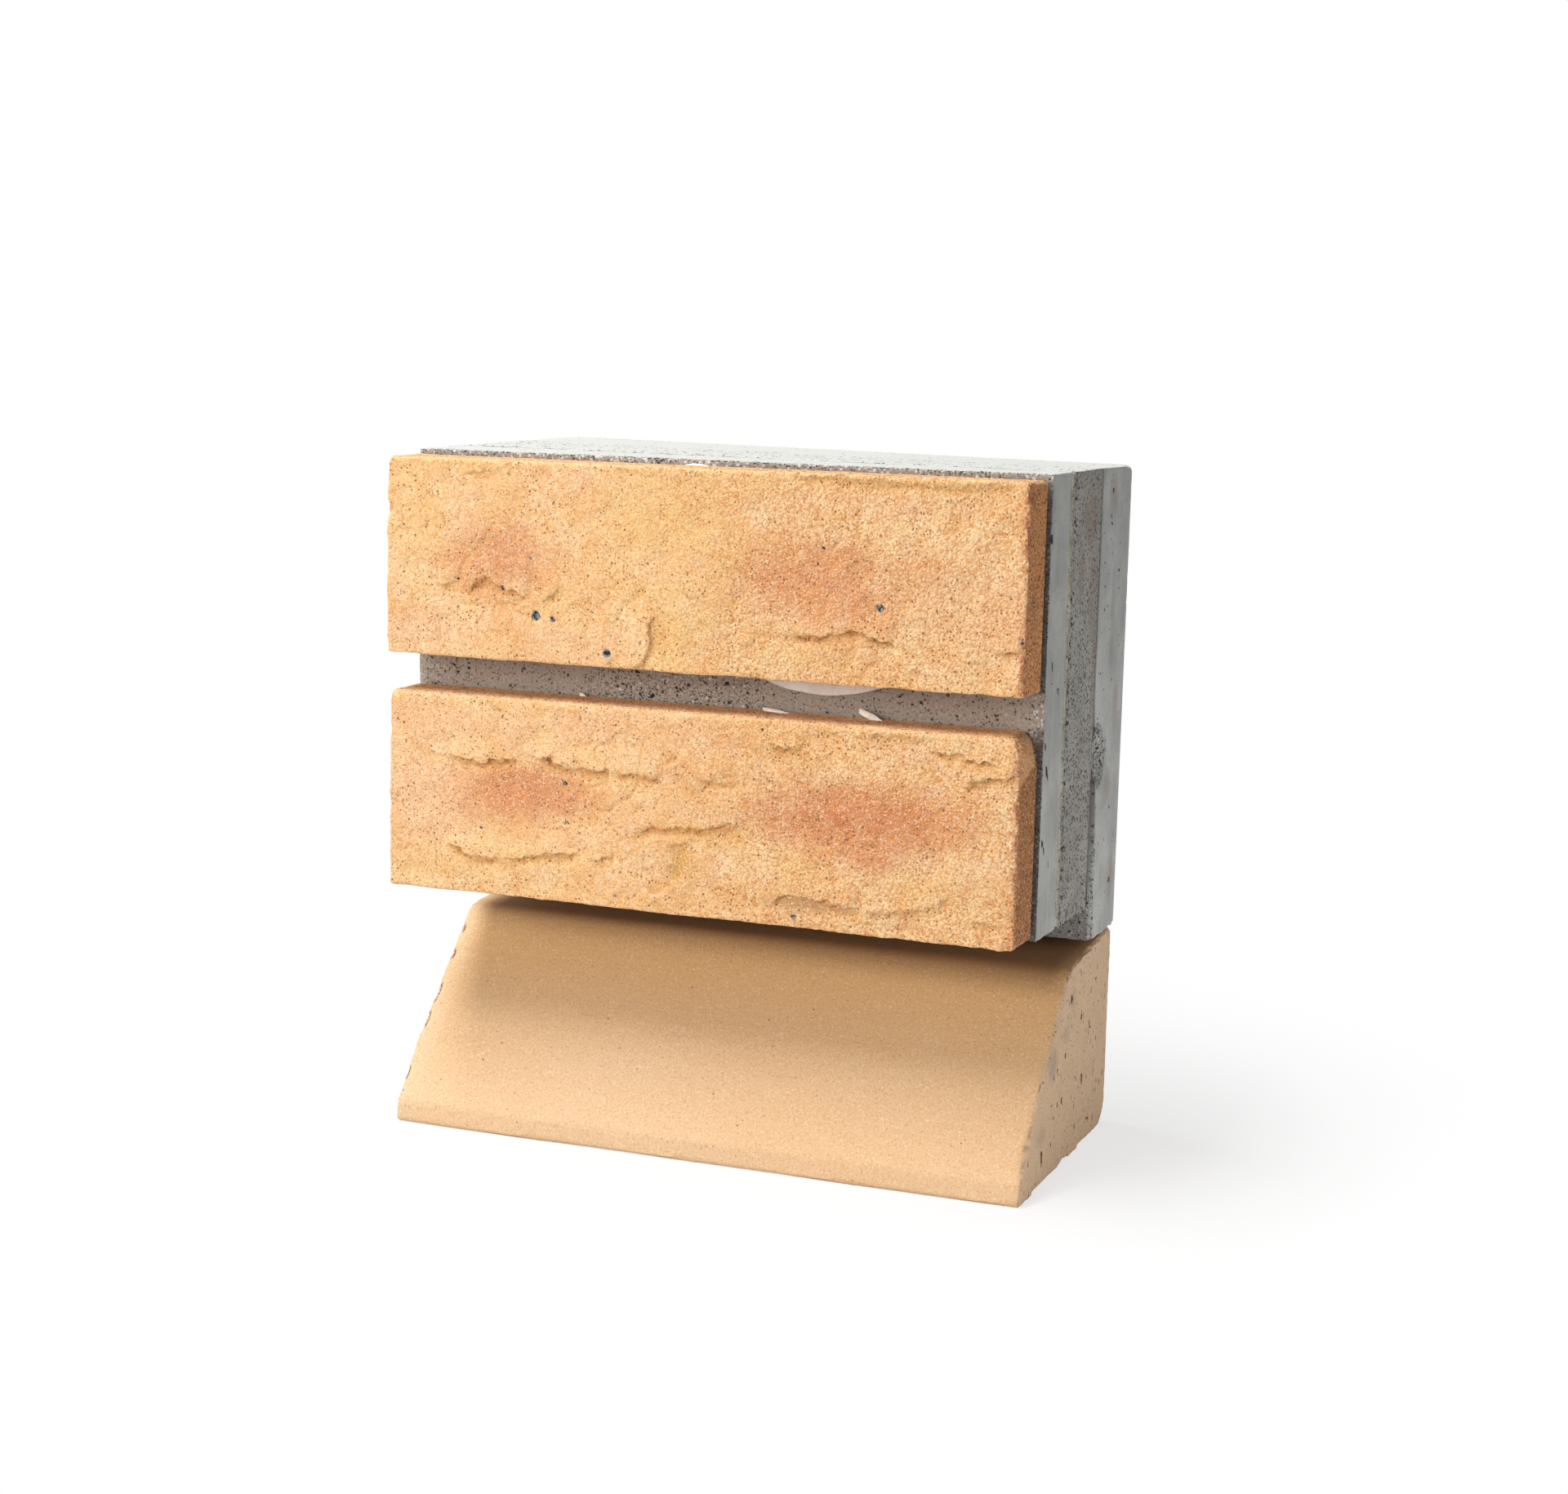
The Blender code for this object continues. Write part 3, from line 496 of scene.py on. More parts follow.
def fold_relief(flat, folds, height, layers):
    """Adds the folds' relief to height and marks their clay as ochre and their foot as a crease."""
    ragged = flat.copy()
    wobble = np.column_stack((flat[:, 0], np.zeros(len(flat)), flat[:, 1]))
    ragged[:, 0] += 1.4 * waves(wobble, 3.6, 3, 1.0)
    ragged[:, 1] += 1.4 * waves(wobble, 3.6, 3, 2.0)
    broken = 0.3 + 0.7 * soft_step(waves(wobble, 3.0, 2, 8.0), -0.2, 0.4)
    reach_along = waves(wobble, 7.0, 1, 9.0)
    margin = 16.0
    for path, lift, cut, width in folds:
        xs, zs = zip(*path)
        near = (flat[:, 0] > min(xs) - margin) & (flat[:, 0] < max(xs) + margin)
        near &= (flat[:, 1] > min(zs) - margin) & (flat[:, 1] < max(zs) + margin)
        side, share = beside_path(ragged[near], path, 4.0)
        raised = side * np.sign(lift) if lift else side
        share *= np.clip(0.8 + 0.5 * reach_along[near], 0.2, 1.2)
        lip = soft_step(raised, -0.55, 0.4) * np.exp(-np.maximum(raised, 0.0) / 5.0)
        hollow = np.exp(-((raised + 1.4) / 1.7) ** 2)
        height[near] += (1.8 * abs(lift) * lip - 0.8 * abs(lift) * hollow) * share
        height[near] -= cut * np.exp(-((raised + 0.3) / width) ** 2) * share * broken[near]
        mark = np.exp(-((raised + 1.0) / (1.4 + width)) ** 2) * share * min(1.0, 0.25 + abs(cut))
        layers["ochre"][near] = np.maximum(layers["ochre"][near], 0.8 * mark)
        keep_crease(layers, near, raised, share * broken[near] * min(1.0, 1.2 * cut))


def slip_relief(flat, folds, hollows, pits, layers):
    """Relief of a slip's face in millimetres; its layers get the shares of ochre, crease and iron spot."""
    height = np.zeros(len(flat))
    fold_relief(flat, folds, height, layers)
    for x, z, half_width, half_height, depth, share in hollows:
        bowl = np.exp(-oval(flat, x, z, half_width, half_height) ** 2)
        height -= 1.3 * depth * bowl
        layers["ochre"] = np.maximum(layers["ochre"], share * bowl)
    ragged = 0.25 * waves(np.column_stack((flat[:, 0], np.zeros(len(flat)), flat[:, 1])), 1.6, 1, 11.0)
    for x, z, radius, depth in pits:
        reach = oval(flat, x, z, radius, radius) + ragged
        height -= depth * np.clip(1.0 - reach ** 2, 0.0, 1.0)
        layers["spot"] = np.maximum(layers["spot"], soft_step(reach, 1.25, 0.75))
    return height


def marks(flat, ovals, softness):
    """Soft cloudy marks with ragged rims."""
    share = np.zeros(len(flat))
    spread = np.column_stack((flat[:, 0], np.zeros(len(flat)), flat[:, 1]))
    ragged = 0.22 * waves(spread, 11.0, 3, 4.0)
    for x, z, half_width, half_height, strength in ovals:
        reach = oval(flat, x, z, half_width, half_height) + ragged
        share = np.maximum(share, strength * soft_step(reach, 1.0 + softness, 1.0 - softness))
    return share


def tear_lines(points, size, seed):
    """Thin wandering creases, in patches: 1 along a crease."""
    level = waves(points, size, 2, seed)
    patches = soft_step(waves(points, 2.2 * size, 1, seed + 1.0), 0.0, 0.35)
    return np.exp(-(level / 0.07) ** 2) * patches


def build_slip(node, name, settings, shape):
    """One split-face slip: a block cut into a fine grid, worn at its edges and moved out into relief."""
    low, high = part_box(node)
    slip = add_block(name, low, high)
    spacing = settings.spacing
    divide(slip, 0, (low.x, high.x), (spacing,))
    divide(slip, 2, (low.z, high.z), (spacing,))
    divide(slip, 1, (low.y, high.y), (1.5 * spacing,))
    merge_flat_side(slip, 1, high.y)
    points = points_of(slip)
    low_mm, high_mm = np.array(low) / MM, np.array(high) / MM
    edge_noise = waves(points, 5.0, 3, 3.0)
    radius = settings.arris / MM * (1.0 + 0.7 * edge_noise)
    radius += shape["top_wear"] * soft_step(points[:, 2], high_mm[2] - 5.0, high_mm[2] - 2.0)
    for x, z, reach, wear in shape["corners"]:
        radius += wear * soft_step(np.hypot(points[:, 0] - x, points[:, 2] - z), reach, 0.15 * reach)
    from_arris = np.hypot(points[:, 0] - high_mm[0], points[:, 1] - low_mm[1])
    radius += 0.9 * soft_step(from_arris, 3.0, 0.0) * soft_step(edge_noise, -0.1, 0.5)
    frontness = soft_step(points[:, 1], low_mm[1] + 2.0, low_mm[1])
    backness = soft_step(points[:, 1], high_mm[1] - 1.5, high_mm[1])
    flat = points[:, [0, 2]]
    layers = {layer: np.zeros(len(points)) for layer in ("ochre", "crease", "crease_depth", "spot")}
    height = slip_relief(flat, shape["folds"], shape["hollows"], shape["pits"], layers)
    tears = np.maximum(tear_lines(points, 13.0, 15.0), shape.get("torn", 0.5) * tear_lines(points, 7.0, 18.0))
    coarse = soft_step(flat[:, 0] + 25.0 * waves(points, 30.0, 1, 14.0), -50.0, 60.0)
    relief = (height - 0.42 * tears) * frontness
    relief += waves(points, 38.0, 2, 5.0) * settings.waviness / MM * (0.3 + 0.7 * frontness)
    relief += waves(points, 9.0, 2, 6.0) * 0.36 * (0.6 + 0.4 * frontness)
    relief += waves(points, 3.6, 2, 10.0) * (0.06 + 0.05 * coarse)
    relief += waves(points, 1.5, 1, 7.0) * settings.grain / MM * (0.55 + 0.6 * coarse)
    # Painted shade over the whole lower slip's end, carried together with the real scars of the ends.
    scar = np.full(len(points), shape.get("end_tone", 0.0)) * (1.0 - frontness)
    on_end = soft_step(points[:, 0], high_mm[0] - 0.8, high_mm[0] - 0.1)
    for y, z, half_depth, half_height, depth in shape["end_scars"]:
        bowl = np.exp(-oval(points[:, 1:3], y, z, half_depth, half_height) ** 2) * on_end
        relief -= depth * bowl
        scar = np.maximum(scar, bowl)
    moved = round_edges(points, low_mm, high_mm, radius)
    if "end_lean" in shape:
        front_start, rear_start, slope = shape["end_lean"]
        rearness = (points[:, 1] - low_mm[1]) / (high_mm[1] - low_mm[1])
        start = front_start + (rear_start - front_start) * rearness
        near_end = np.clip((points[:, 0] - high_mm[0]) / END_LEAN_REACH + 1.0, 0.0, 1.0)
        moved[:, 0] -= slope * np.maximum(moved[:, 2] - start, 0.0) * near_end
    move_points(slip, moved)
    moved += normals_of(slip) * (relief * (1.0 - backness))[:, None]
    moved = np.clip(moved, low_mm - np.array((0.9, 0.6, 0.5)), high_mm + np.array((0.9, 0.0, 0.5)))
    box_low, box_high = (np.array(corner) / MM for corner in CAD_BOX)
    move_points(slip, np.clip(moved, box_low, box_high))
    layers["ochre"] = np.maximum(layers["ochre"], 0.35 * tears)
    for layer in ("ochre", "crease_depth", "spot"):
        layers[layer] *= frontness
    layers["side"] = 1.0 - frontness
    if "end_facet" in shape:
        front_foot, rear_foot = shape["end_facet"]
        rearness = (points[:, 1] - low_mm[1]) / (high_mm[1] - low_mm[1])
        above = points[:, 2] - (front_foot + (rear_foot - front_foot) * rearness) + 1.2 * edge_noise
        facet = soft_step(above, -0.6, 0.6) * soft_step(points[:, 0], high_mm[0] - 6.0, high_mm[0] - 2.0)
        facet *= soft_step(points[:, 2], high_mm[2] - 0.2, high_mm[2] - 2.0)
        layers["side"] *= 1.0 - 0.6 * facet
        scar *= 1.0 - facet
    layers["coarse"] = coarse
    layers["scar"] = scar
    layers["crumb"] = soft_step(from_arris, 3.4, 1.0) * (0.4 + 0.6 * soft_step(edge_noise, -0.3, 0.3))
    for patch in ("scorch", "ash", "yellow", "pink"):
        layers[patch] = marks(flat, shape[patch], 0.6) * frontness
    for layer, values in layers.items():
        paint(slip, layer, values)
    finish_mesh(slip)
    return slip


class Shader:
    """A material's node tree, with one short call for each node."""

    def __init__(self, name, roughness):
        self.material = bpy.data.materials.new(name)
        self.material.use_nodes = True
        self.tree = self.material.node_tree
        self.surface = self.tree.nodes["Principled BSDF"]
        self.surface.inputs["Roughness"].default_value = roughness
        self.place = self.add("ShaderNodeTexCoord").outputs["Object"]

    def add(self, kind, **settings):
        node = self.tree.nodes.new(kind)
        for key, value in settings.items():
            setattr(node, key, value)
        return node

    def plug(self, socket, value):
        if isinstance(value, bpy.types.NodeSocket):
            self.tree.links.new(value, socket)
        else:
            socket.default_value = value

    def mapped(self, stretch=(1.0, 1.0, 1.0), shift=(0.0, 0.0, 0.0)):
        node = self.add("ShaderNodeMapping")
        self.plug(node.inputs["Vector"], self.place)
        self.plug(node.inputs["Location"], shift)
        self.plug(node.inputs["Scale"], stretch)
        return node.outputs["Vector"]

    def noise(self, size, detail=2.0, roughness=0.5, stretch=None, shift=(0.0, 0.0, 0.0)):
        """Noise with bumps about size millimetres wide."""
        node = self.add("ShaderNodeTexNoise")
        self.plug(node.inputs["Vector"], self.mapped(stretch or (1.0, 1.0, 1.0), shift))
        self.plug(node.inputs["Scale"], 1.0 / (size * MM))
        self.plug(node.inputs["Detail"], detail)
        self.plug(node.inputs["Roughness"], roughness)
        return node.outputs["Fac"]

    def band(self, value, start, stop, low=0.0, high=1.0):
        """A soft step from low to high as value goes from start to stop."""
        node = self.add("ShaderNodeMapRange", interpolation_type="SMOOTHSTEP")
        self.plug(node.inputs["Value"], value)
        self.plug(node.inputs["From Min"], start)
        self.plug(node.inputs["From Max"], stop)
        self.plug(node.inputs["To Min"], low)
        self.plug(node.inputs["To Max"], high)
        return node.outputs["Result"]

    def math(self, operation, first, second=0.0):
        node = self.add("ShaderNodeMath", operation=operation)
        self.plug(node.inputs[0], first)
        self.plug(node.inputs[1], second)
        return node.outputs["Value"]

    def mix(self, share, first, second, blend="MIX"):
        node = self.add("ShaderNodeMix", data_type="RGBA", blend_type=blend)
        self.plug(node.inputs["Factor"], share)
        self.plug(node.inputs["A"], first)
        self.plug(node.inputs["B"], second)
        return node.outputs["Result"]

    def attribute(self, name):
        node = self.add("ShaderNodeAttribute", attribute_name=name)
        return node.outputs["Fac"]

    def specks(self, size, radius, share, shift=(0.0, 0.0, 0.0), stretch=None):
        """Round specks, one in each chosen cell: cell size in millimetres, radius as a share of a cell."""
        node = self.add("ShaderNodeTexVoronoi")
        self.plug(node.inputs["Vector"], self.mapped(stretch or (1.0, 1.0, 1.0), shift))
        self.plug(node.inputs["Scale"], 1.0 / (size * MM))
        chance = self.add("ShaderNodeSeparateColor")
        self.plug(chance.inputs["Color"], node.outputs["Color"])
        chosen = self.band(self.math("ADD", chance.outputs["Red"], share), 0.99, 1.01)
        reach = self.math("MULTIPLY", self.band(chance.outputs["Green"], 0.0, 1.0, 0.5, 1.3), radius)
        inner = self.math("MULTIPLY", reach, 0.7)
        dot = self.band(node.outputs["Distance"], reach, inner)
        return self.math("MULTIPLY", chosen, dot)

    def place_along(self, axis):
        parts = self.add("ShaderNodeSeparateXYZ")
        self.plug(parts.inputs["Vector"], self.place)
        return parts.outputs[axis]

    def crease(self, outer, inner):
        """The mesh's marked creases as a crisp line, and the signed distance from it in millimetres."""
        away = self.math("MULTIPLY", self.math("SUBTRACT", self.attribute("crease"), 0.5), 2.0 * CREASE_REACH)
        wander = self.math("MULTIPLY", self.math("SUBTRACT", self.noise(1.9, 3.0, 0.6), 0.5), 4.6)
        away = self.math("ADD", away, wander)
        thin = self.band(self.noise(3.2, 2.0, shift=(0.02, 0.07, 0.04)), 0.38, 0.62, 2.2, 0.7)
        near = self.math("MULTIPLY", self.math("ABSOLUTE", self.math("ADD", away, 0.3)), thin)
        near = self.band(near, outer, inner)
        return self.math("MULTIPLY", near, self.attribute("crease_depth")), away

    def pores(self, amount):
        """Fine pores and pale sand grains: amount is 0 on closed faces, 1 on open and 1.6 on crumbly ones."""
        few = self.math("MINIMUM", amount, self.math("SUBTRACT", 1.6, amount))
        tiny = self.specks(1.0, 0.42, self.math("MULTIPLY", few, 0.75), shift=(0.02, 0.05, 0.01))
        wider = self.specks(1.8, 0.32, self.math("MULTIPLY", amount, 0.4), shift=(0.07, 0.01, 0.03))
        grains = self.specks(1.3, 0.42, self.band(amount, 0.7, 1.0, 0.0, 0.75), shift=(0.04, 0.03, 0.08))
        open_holes = self.specks(2.0, 0.44, self.band(amount, 1.0, 1.6, 0.0, 0.75), shift=(0.05, 0.04, 0.02))
        pebbles = self.specks(2.1, 0.44, self.band(amount, 1.0, 1.6, 0.0, 0.8), shift=(0.01, 0.03, 0.06))
        holes = self.math("MAXIMUM", self.math("MAXIMUM", tiny, wider), open_holes)
        return holes, self.math("MAXIMUM", grains, pebbles)

    def grains(self, size):
        """Packed round grains: their height, and the dark crevices between them."""
        node = self.add("ShaderNodeTexVoronoi")
        self.plug(node.inputs["Vector"], self.place)
        self.plug(node.inputs["Scale"], 1.0 / (size * MM))
        reach = node.outputs["Distance"]
        return self.band(reach, 0.75, 0.1), self.band(reach, 0.5, 0.8)

    def facing(self):
        """The surface's outward direction, as three numbers."""
        geometry = self.add("ShaderNodeNewGeometry")
        parts = self.add("ShaderNodeSeparateXYZ")
        self.plug(parts.inputs["Vector"], geometry.outputs["Normal"])
        return parts.outputs

    def bump(self, height, distance, strength=1.0, under=None):
        node = self.add("ShaderNodeBump")
        self.plug(node.inputs["Height"], height)
        self.plug(node.inputs["Distance"], distance * MM)
        self.plug(node.inputs["Strength"], strength)
        if under is not None:
            self.plug(node.inputs["Normal"], under)
        return node.outputs["Normal"]

    def finish(self, base, normal=None, roughness=None):
        self.plug(self.surface.inputs["Base Color"], base)
        if normal is not None:
            self.plug(self.surface.inputs["Normal"], normal)
        if roughness is not None:
            self.plug(self.surface.inputs["Roughness"], roughness)
        return self.material


def slip_material(settings):
    """Sandy split clay: cream and apricot clouds, flame marks, ochre folds, grains and iron spots."""
    shader = Shader("split_face_clay", 0.9)
    coarse = shader.attribute("coarse")
    side = shader.attribute("side")
    scorch = shader.attribute("scorch")
    clouds = shader.band(shader.noise(24.0, 3.0, 0.55), 0.38, 0.64)
    mottle = shader.band(shader.noise(4.5, 3.0, 0.6, shift=(0.03, 0.01, 0.02)), 0.36, 0.68)
    base = shader.mix(clouds, tuple(settings.cream), tuple(settings.apricot))
    tint = shader.noise(9.0, 3.0, 0.6, shift=(0.04, 0.08, 0.01))
    base = shader.mix(shader.band(tint, 0.52, 0.68, 0.0, 0.5), base, srgb(240, 178, 104))
    base = shader.mix(shader.band(tint, 0.48, 0.34, 0.0, 0.45), base, srgb(251, 218, 178))
    base = shader.mix(shader.attribute("yellow"), base, tuple(settings.yellow))
    base = shader.mix(shader.attribute("pink"), base, tuple(settings.pink))
    base = shader.mix(shader.math("MULTIPLY", mottle, shader.band(coarse, 0.0, 1.0, 0.3, 0.45)), base, srgb(226, 164, 106))
    scorched = shader.math("MULTIPLY", scorch, shader.band(mottle, 0.0, 1.0, 0.8, 1.0))
    base = shader.mix(scorched, base, tuple(settings.scorch))
    base = shader.mix(shader.math("MULTIPLY", shader.attribute("ash"), 0.55), base, srgb(172, 142, 108))
    base = shader.mix(shader.math("MULTIPLY", shader.attribute("ochre"), 0.7), base, tuple(settings.ochre))
    base = shader.mix(shader.math("MULTIPLY", side, 0.9), base, tuple(settings.end))
    # Scars of the right ends, and painted shade over the lower slip's end.
    base = shader.mix(shader.math("MULTIPLY", shader.attribute("scar"), 0.8), base, srgb(138, 78, 26))
    # Up-facing faces in paler cream: partly the beds' own colour, partly painted light that lifts the shaded top of the
    # lower slip in the joint.
    above = shader.band(shader.facing()["Z"], 0.4, 0.8)
    base = shader.mix(above, base, srgb(246, 198, 144))
    crumbs = shader.band(shader.noise(1.6, 2.0, 0.6, shift=(0.02, 0.08, 0.05)), 0.38, 0.52)
    base = shader.mix(shader.math("MULTIPLY", crumbs, shader.attribute("crumb")), base, srgb(192, 118, 86))
    grain = shader.noise(0.85, 2.0, 0.6, shift=(0.07, 0.02, 0.05))
    grains, crevices = shader.grains(1.05)
    strong = shader.band(coarse, 0.0, 1.0, 0.35, 0.7)
    # Painted shade in the crevices between the grains.
    base = shader.mix(shader.math("MULTIPLY", crevices, strong), base, srgb(206, 130, 68))
    base = shader.mix(shader.band(grain, 0.44, 0.3, 0.0, 0.5), base, srgb(206, 132, 74))
    base = shader.mix(shader.band(grain, 0.56, 0.7, 0.0, 0.6), base, srgb(255, 230, 188))
    sand = shader.noise(0.5, 1.0, 0.5, shift=(0.011, 0.047, 0.013))
    base = shader.mix(shader.band(sand, 0.42, 0.3, 0.0, 0.6), base, srgb(200, 120, 60))
    base = shader.mix(shader.band(sand, 0.58, 0.7, 0.0, 0.55), base, srgb(255, 234, 198))
    fine = shader.specks(1.15, 0.28, shader.band(coarse, 0.0, 1.0, 0.34, 0.42), shift=(0.031, 0.017, 0.023))
    base = shader.mix(shader.math("MULTIPLY", fine, 0.8), base, srgb(150, 80, 48))
    dark = shader.specks(2.3, 0.17, 0.2)
    base = shader.mix(shader.math("MULTIPLY", dark, 0.8), base, tuple(settings.speck))
    darker = shader.specks(5.2, 0.085, 0.4, shift=(0.02, 0.04, 0.01))
    base = shader.mix(shader.math("MULTIPLY", darker, 0.8), base, srgb(110, 72, 60))
    pale = shader.specks(1.5, 0.26, shader.math("MULTIPLY", scorch, 0.3), shift=(0.05, 0.01, 0.03))
    base = shader.mix(shader.math("MULTIPLY", pale, 0.55), base, srgb(236, 200, 182))
    # Each crease is drawn with painted shade, as a dark line at its foot and darker ochre below the lip, and with a
    # painted highlight on the lip above.
    line, away = shader.crease(0.6, 0.15)
    line = shader.math("MULTIPLY", line, shader.band(shader.noise(4.0, 2.0, shift=(0.06, 0.02, 0.01)), 0.4, 0.58, 0.25, 1.0))
    below = shader.math("MULTIPLY", shader.band(away, -2.4, -0.5), shader.band(away, 0.3, -0.3))
    shade = shader.math("MULTIPLY", below, shader.attribute("crease_depth"))
    base = shader.mix(shader.math("MULTIPLY", shade, 0.65), base, srgb(206, 134, 58))
    rim = shader.math("MULTIPLY", shader.band(away, 0.1, 0.5), shader.band(away, 1.7, 0.8))
    rim = shader.math("MULTIPLY", rim, shader.attribute("crease_depth"))
    base = shader.mix(shader.math("MULTIPLY", rim, 0.4), base, srgb(255, 226, 178))
    base = shader.mix(shader.math("MULTIPLY", line, 0.75), base, srgb(152, 86, 40))
    glint = shader.band(shader.noise(1.1, 1.0, 0.5, shift=(0.09, 0.03, 0.02)), 0.44, 0.56)
    spot_colour = shader.mix(glint, tuple(settings.iron), srgb(150, 152, 152))
    base = shader.mix(shader.band(shader.attribute("spot"), 0.3, 0.7), base, spot_colour)
    sandy = shader.noise(1.0, 2.0, 0.65, shift=(0.05, 0.02, 0.07))
    base = shader.mix(shader.math("MULTIPLY", shader.band(sandy, 0.56, 0.68), side), base, srgb(240, 178, 114))
    # Painted shade in the pits of the ends and beds.
    pits = shader.math("MAXIMUM", shader.specks(1.2, 0.42, 0.6, shift=(0.01, 0.06, 0.04)), shader.band(sandy, 0.4, 0.3))
    pits = shader.math("MULTIPLY", pits, side)
    base = shader.mix(shader.math("MULTIPLY", pits, 0.74), base, srgb(112, 62, 30))
    hollow = shader.math("MAXIMUM", shader.math("MAXIMUM", dark, fine), shader.math("MAXIMUM", pits, line))
    normal = shader.bump(grain, 0.3, 0.9)
    normal = shader.bump(grains, 0.25, shader.band(coarse, 0.0, 1.0, 0.4, 0.85), normal)
    normal = shader.bump(sand, 0.18, 0.8, normal)
    lip = shader.math("MULTIPLY", shader.band(away, -0.5, 0.2), shader.attribute("crease_depth"))
    normal = shader.bump(lip, 0.5, 0.8, normal)
    normal = shader.bump(shader.math("MULTIPLY", hollow, -1.0), 0.35, 0.8, normal)
    rough = shader.band(grain, 0.3, 0.7, 0.95, 0.84)
    return shader.finish(base, normal, rough)


def shape_board(points, low, high, slant, rise):
    """Slants a board's left end and raises its top towards the rear left corner, as its solid has them."""
    across = (high[0] - points[:, 0]) / (high[0] - low[0])
    points[:, 0] += slant * (points[:, 1] - low[1]) * across
    top = soft_step(points[:, 2], high[2] - 12.0, high[2])
    points[:, 2] += rise(points[:, 0], points[:, 1]) * top
    return points


BOARD_LEFT_SLANT = 0.158
BOARD_TOP_RISE = 2.5


def board_rise(x, y):
    """How far the boards' level top climbs at a place: nothing at the front and right, all at the rear left."""
    rear_low, rear_high = (np.array(corner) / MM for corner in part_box("rear_board"))
    front_low = np.array(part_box("front_board")[0]) / MM
    across = (rear_high[0] - x) / (rear_high[0] - rear_low[0])
    back = (y - front_low[1]) / (rear_high[1] - front_low[1])
    return BOARD_TOP_RISE * np.clip(across, 0.0, 1.0) * np.clip(back, 0.0, 1.0)


def board_box(node):
    """A board's box before its top is raised, in millimetres: its right end and lowest top."""
    low, high = (np.array(corner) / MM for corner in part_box(node))
    high[2] -= float(board_rise(low[0] + BOARD_LEFT_SLANT * (high[1] - low[1]), high[1]))
    return low, high


def dig_pits(points, normals, pits, mark, depth_of):
    """Digs round holes into the right end of a piece: y, z, radius, depth and an optional tallness."""
    at_end = normals[:, 0] > 0.7
    for pit in pits:
        y, z, radius, depth = pit[:4]
        tall = pit[4] if len(pit) > 4 else 1.0
        reach = oval(points[:, 1:3], y, z, radius, radius * tall)
        bowl = np.clip(1.0 - reach ** 2, 0.0, 1.0) * at_end
        depth_of -= depth * bowl
        np.maximum(mark, soft_step(reach, 1.2, 0.7) * at_end, out=mark)


def scatter_holes(points, normals, facing, count, seed, sizes, depth_of, mark, low, high):
    """Opens seeded air holes over a face: sizes are the smallest and largest radius."""
    axis, sign = facing
    others = [index for index in range(3) if index != axis]
    at_face = normals[:, axis] * sign > 0.6
    chosen = np.flatnonzero(at_face)
    flat = points[chosen][:, others]
    draw = np.random.default_rng(seed)
    for _ in range(count):
        centre = draw.uniform(low, high)
        radius = sizes[0] + (sizes[1] - sizes[0]) * draw.random() ** 3
        reach = np.hypot(flat[:, 0] - centre[0], flat[:, 1] - centre[1]) / radius
        near = reach < 1.3
        depth_of[chosen[near]] -= 0.9 * radius * np.clip(1.0 - reach[near] ** 2, 0.0, 1.0)
        mark[chosen[near]] = np.maximum(mark[chosen[near]], soft_step(reach[near], 1.2, 0.6))


def build_board(node, name, zones, spacing_x, spacing_y):
    """A board's block, cut up in level zones, before its end is slanted and its top raised."""
    low, high = board_box(node)
    block = add_block(name, Vector(low) * MM, Vector(high) * MM)
    stops = (low[2], *[stop for stop, _ in zones[:-1]], high[2])
    divide(block, 0, (low[0] * MM, high[0] * MM), (spacing_x,))
    divide(block, 2, [stop * MM for stop in stops], [spacing * MM for _, spacing in zones])
    divide(block, 1, (low[1] * MM, high[1] * MM), (spacing_y,))
    return block, low, high


def finish_board(block, points, radius, low, high, rough, seed, dig, damage=None):
    """Wears a board's edges, shapes it, roughens it and digs its holes."""
    noise_edge = waves(points, 5.0, 2, seed)
    moved = round_edges(points, low, high, radius * (1.0 + 0.7 * noise_edge))
    moved = shape_board(moved, low, high, BOARD_LEFT_SLANT, board_rise)
    move_points(block, moved)
    normals = normals_of(block)
    layers = {name: np.zeros(len(moved)) for name in ("hole", "pore", "rust", "grime")}
    if damage:
        moved = damage(moved, layers)
    out = rough * waves(moved, 2.2, 2, seed + 1.0) + 0.12 * waves(moved, 30.0, 1, seed + 2.0) - 0.1
    dig(moved, normals, out, layers)
    move_points(block, moved + normals * out[:, None])
    for name, values in layers.items():
        paint(block, name, values)
    finish_mesh(block)


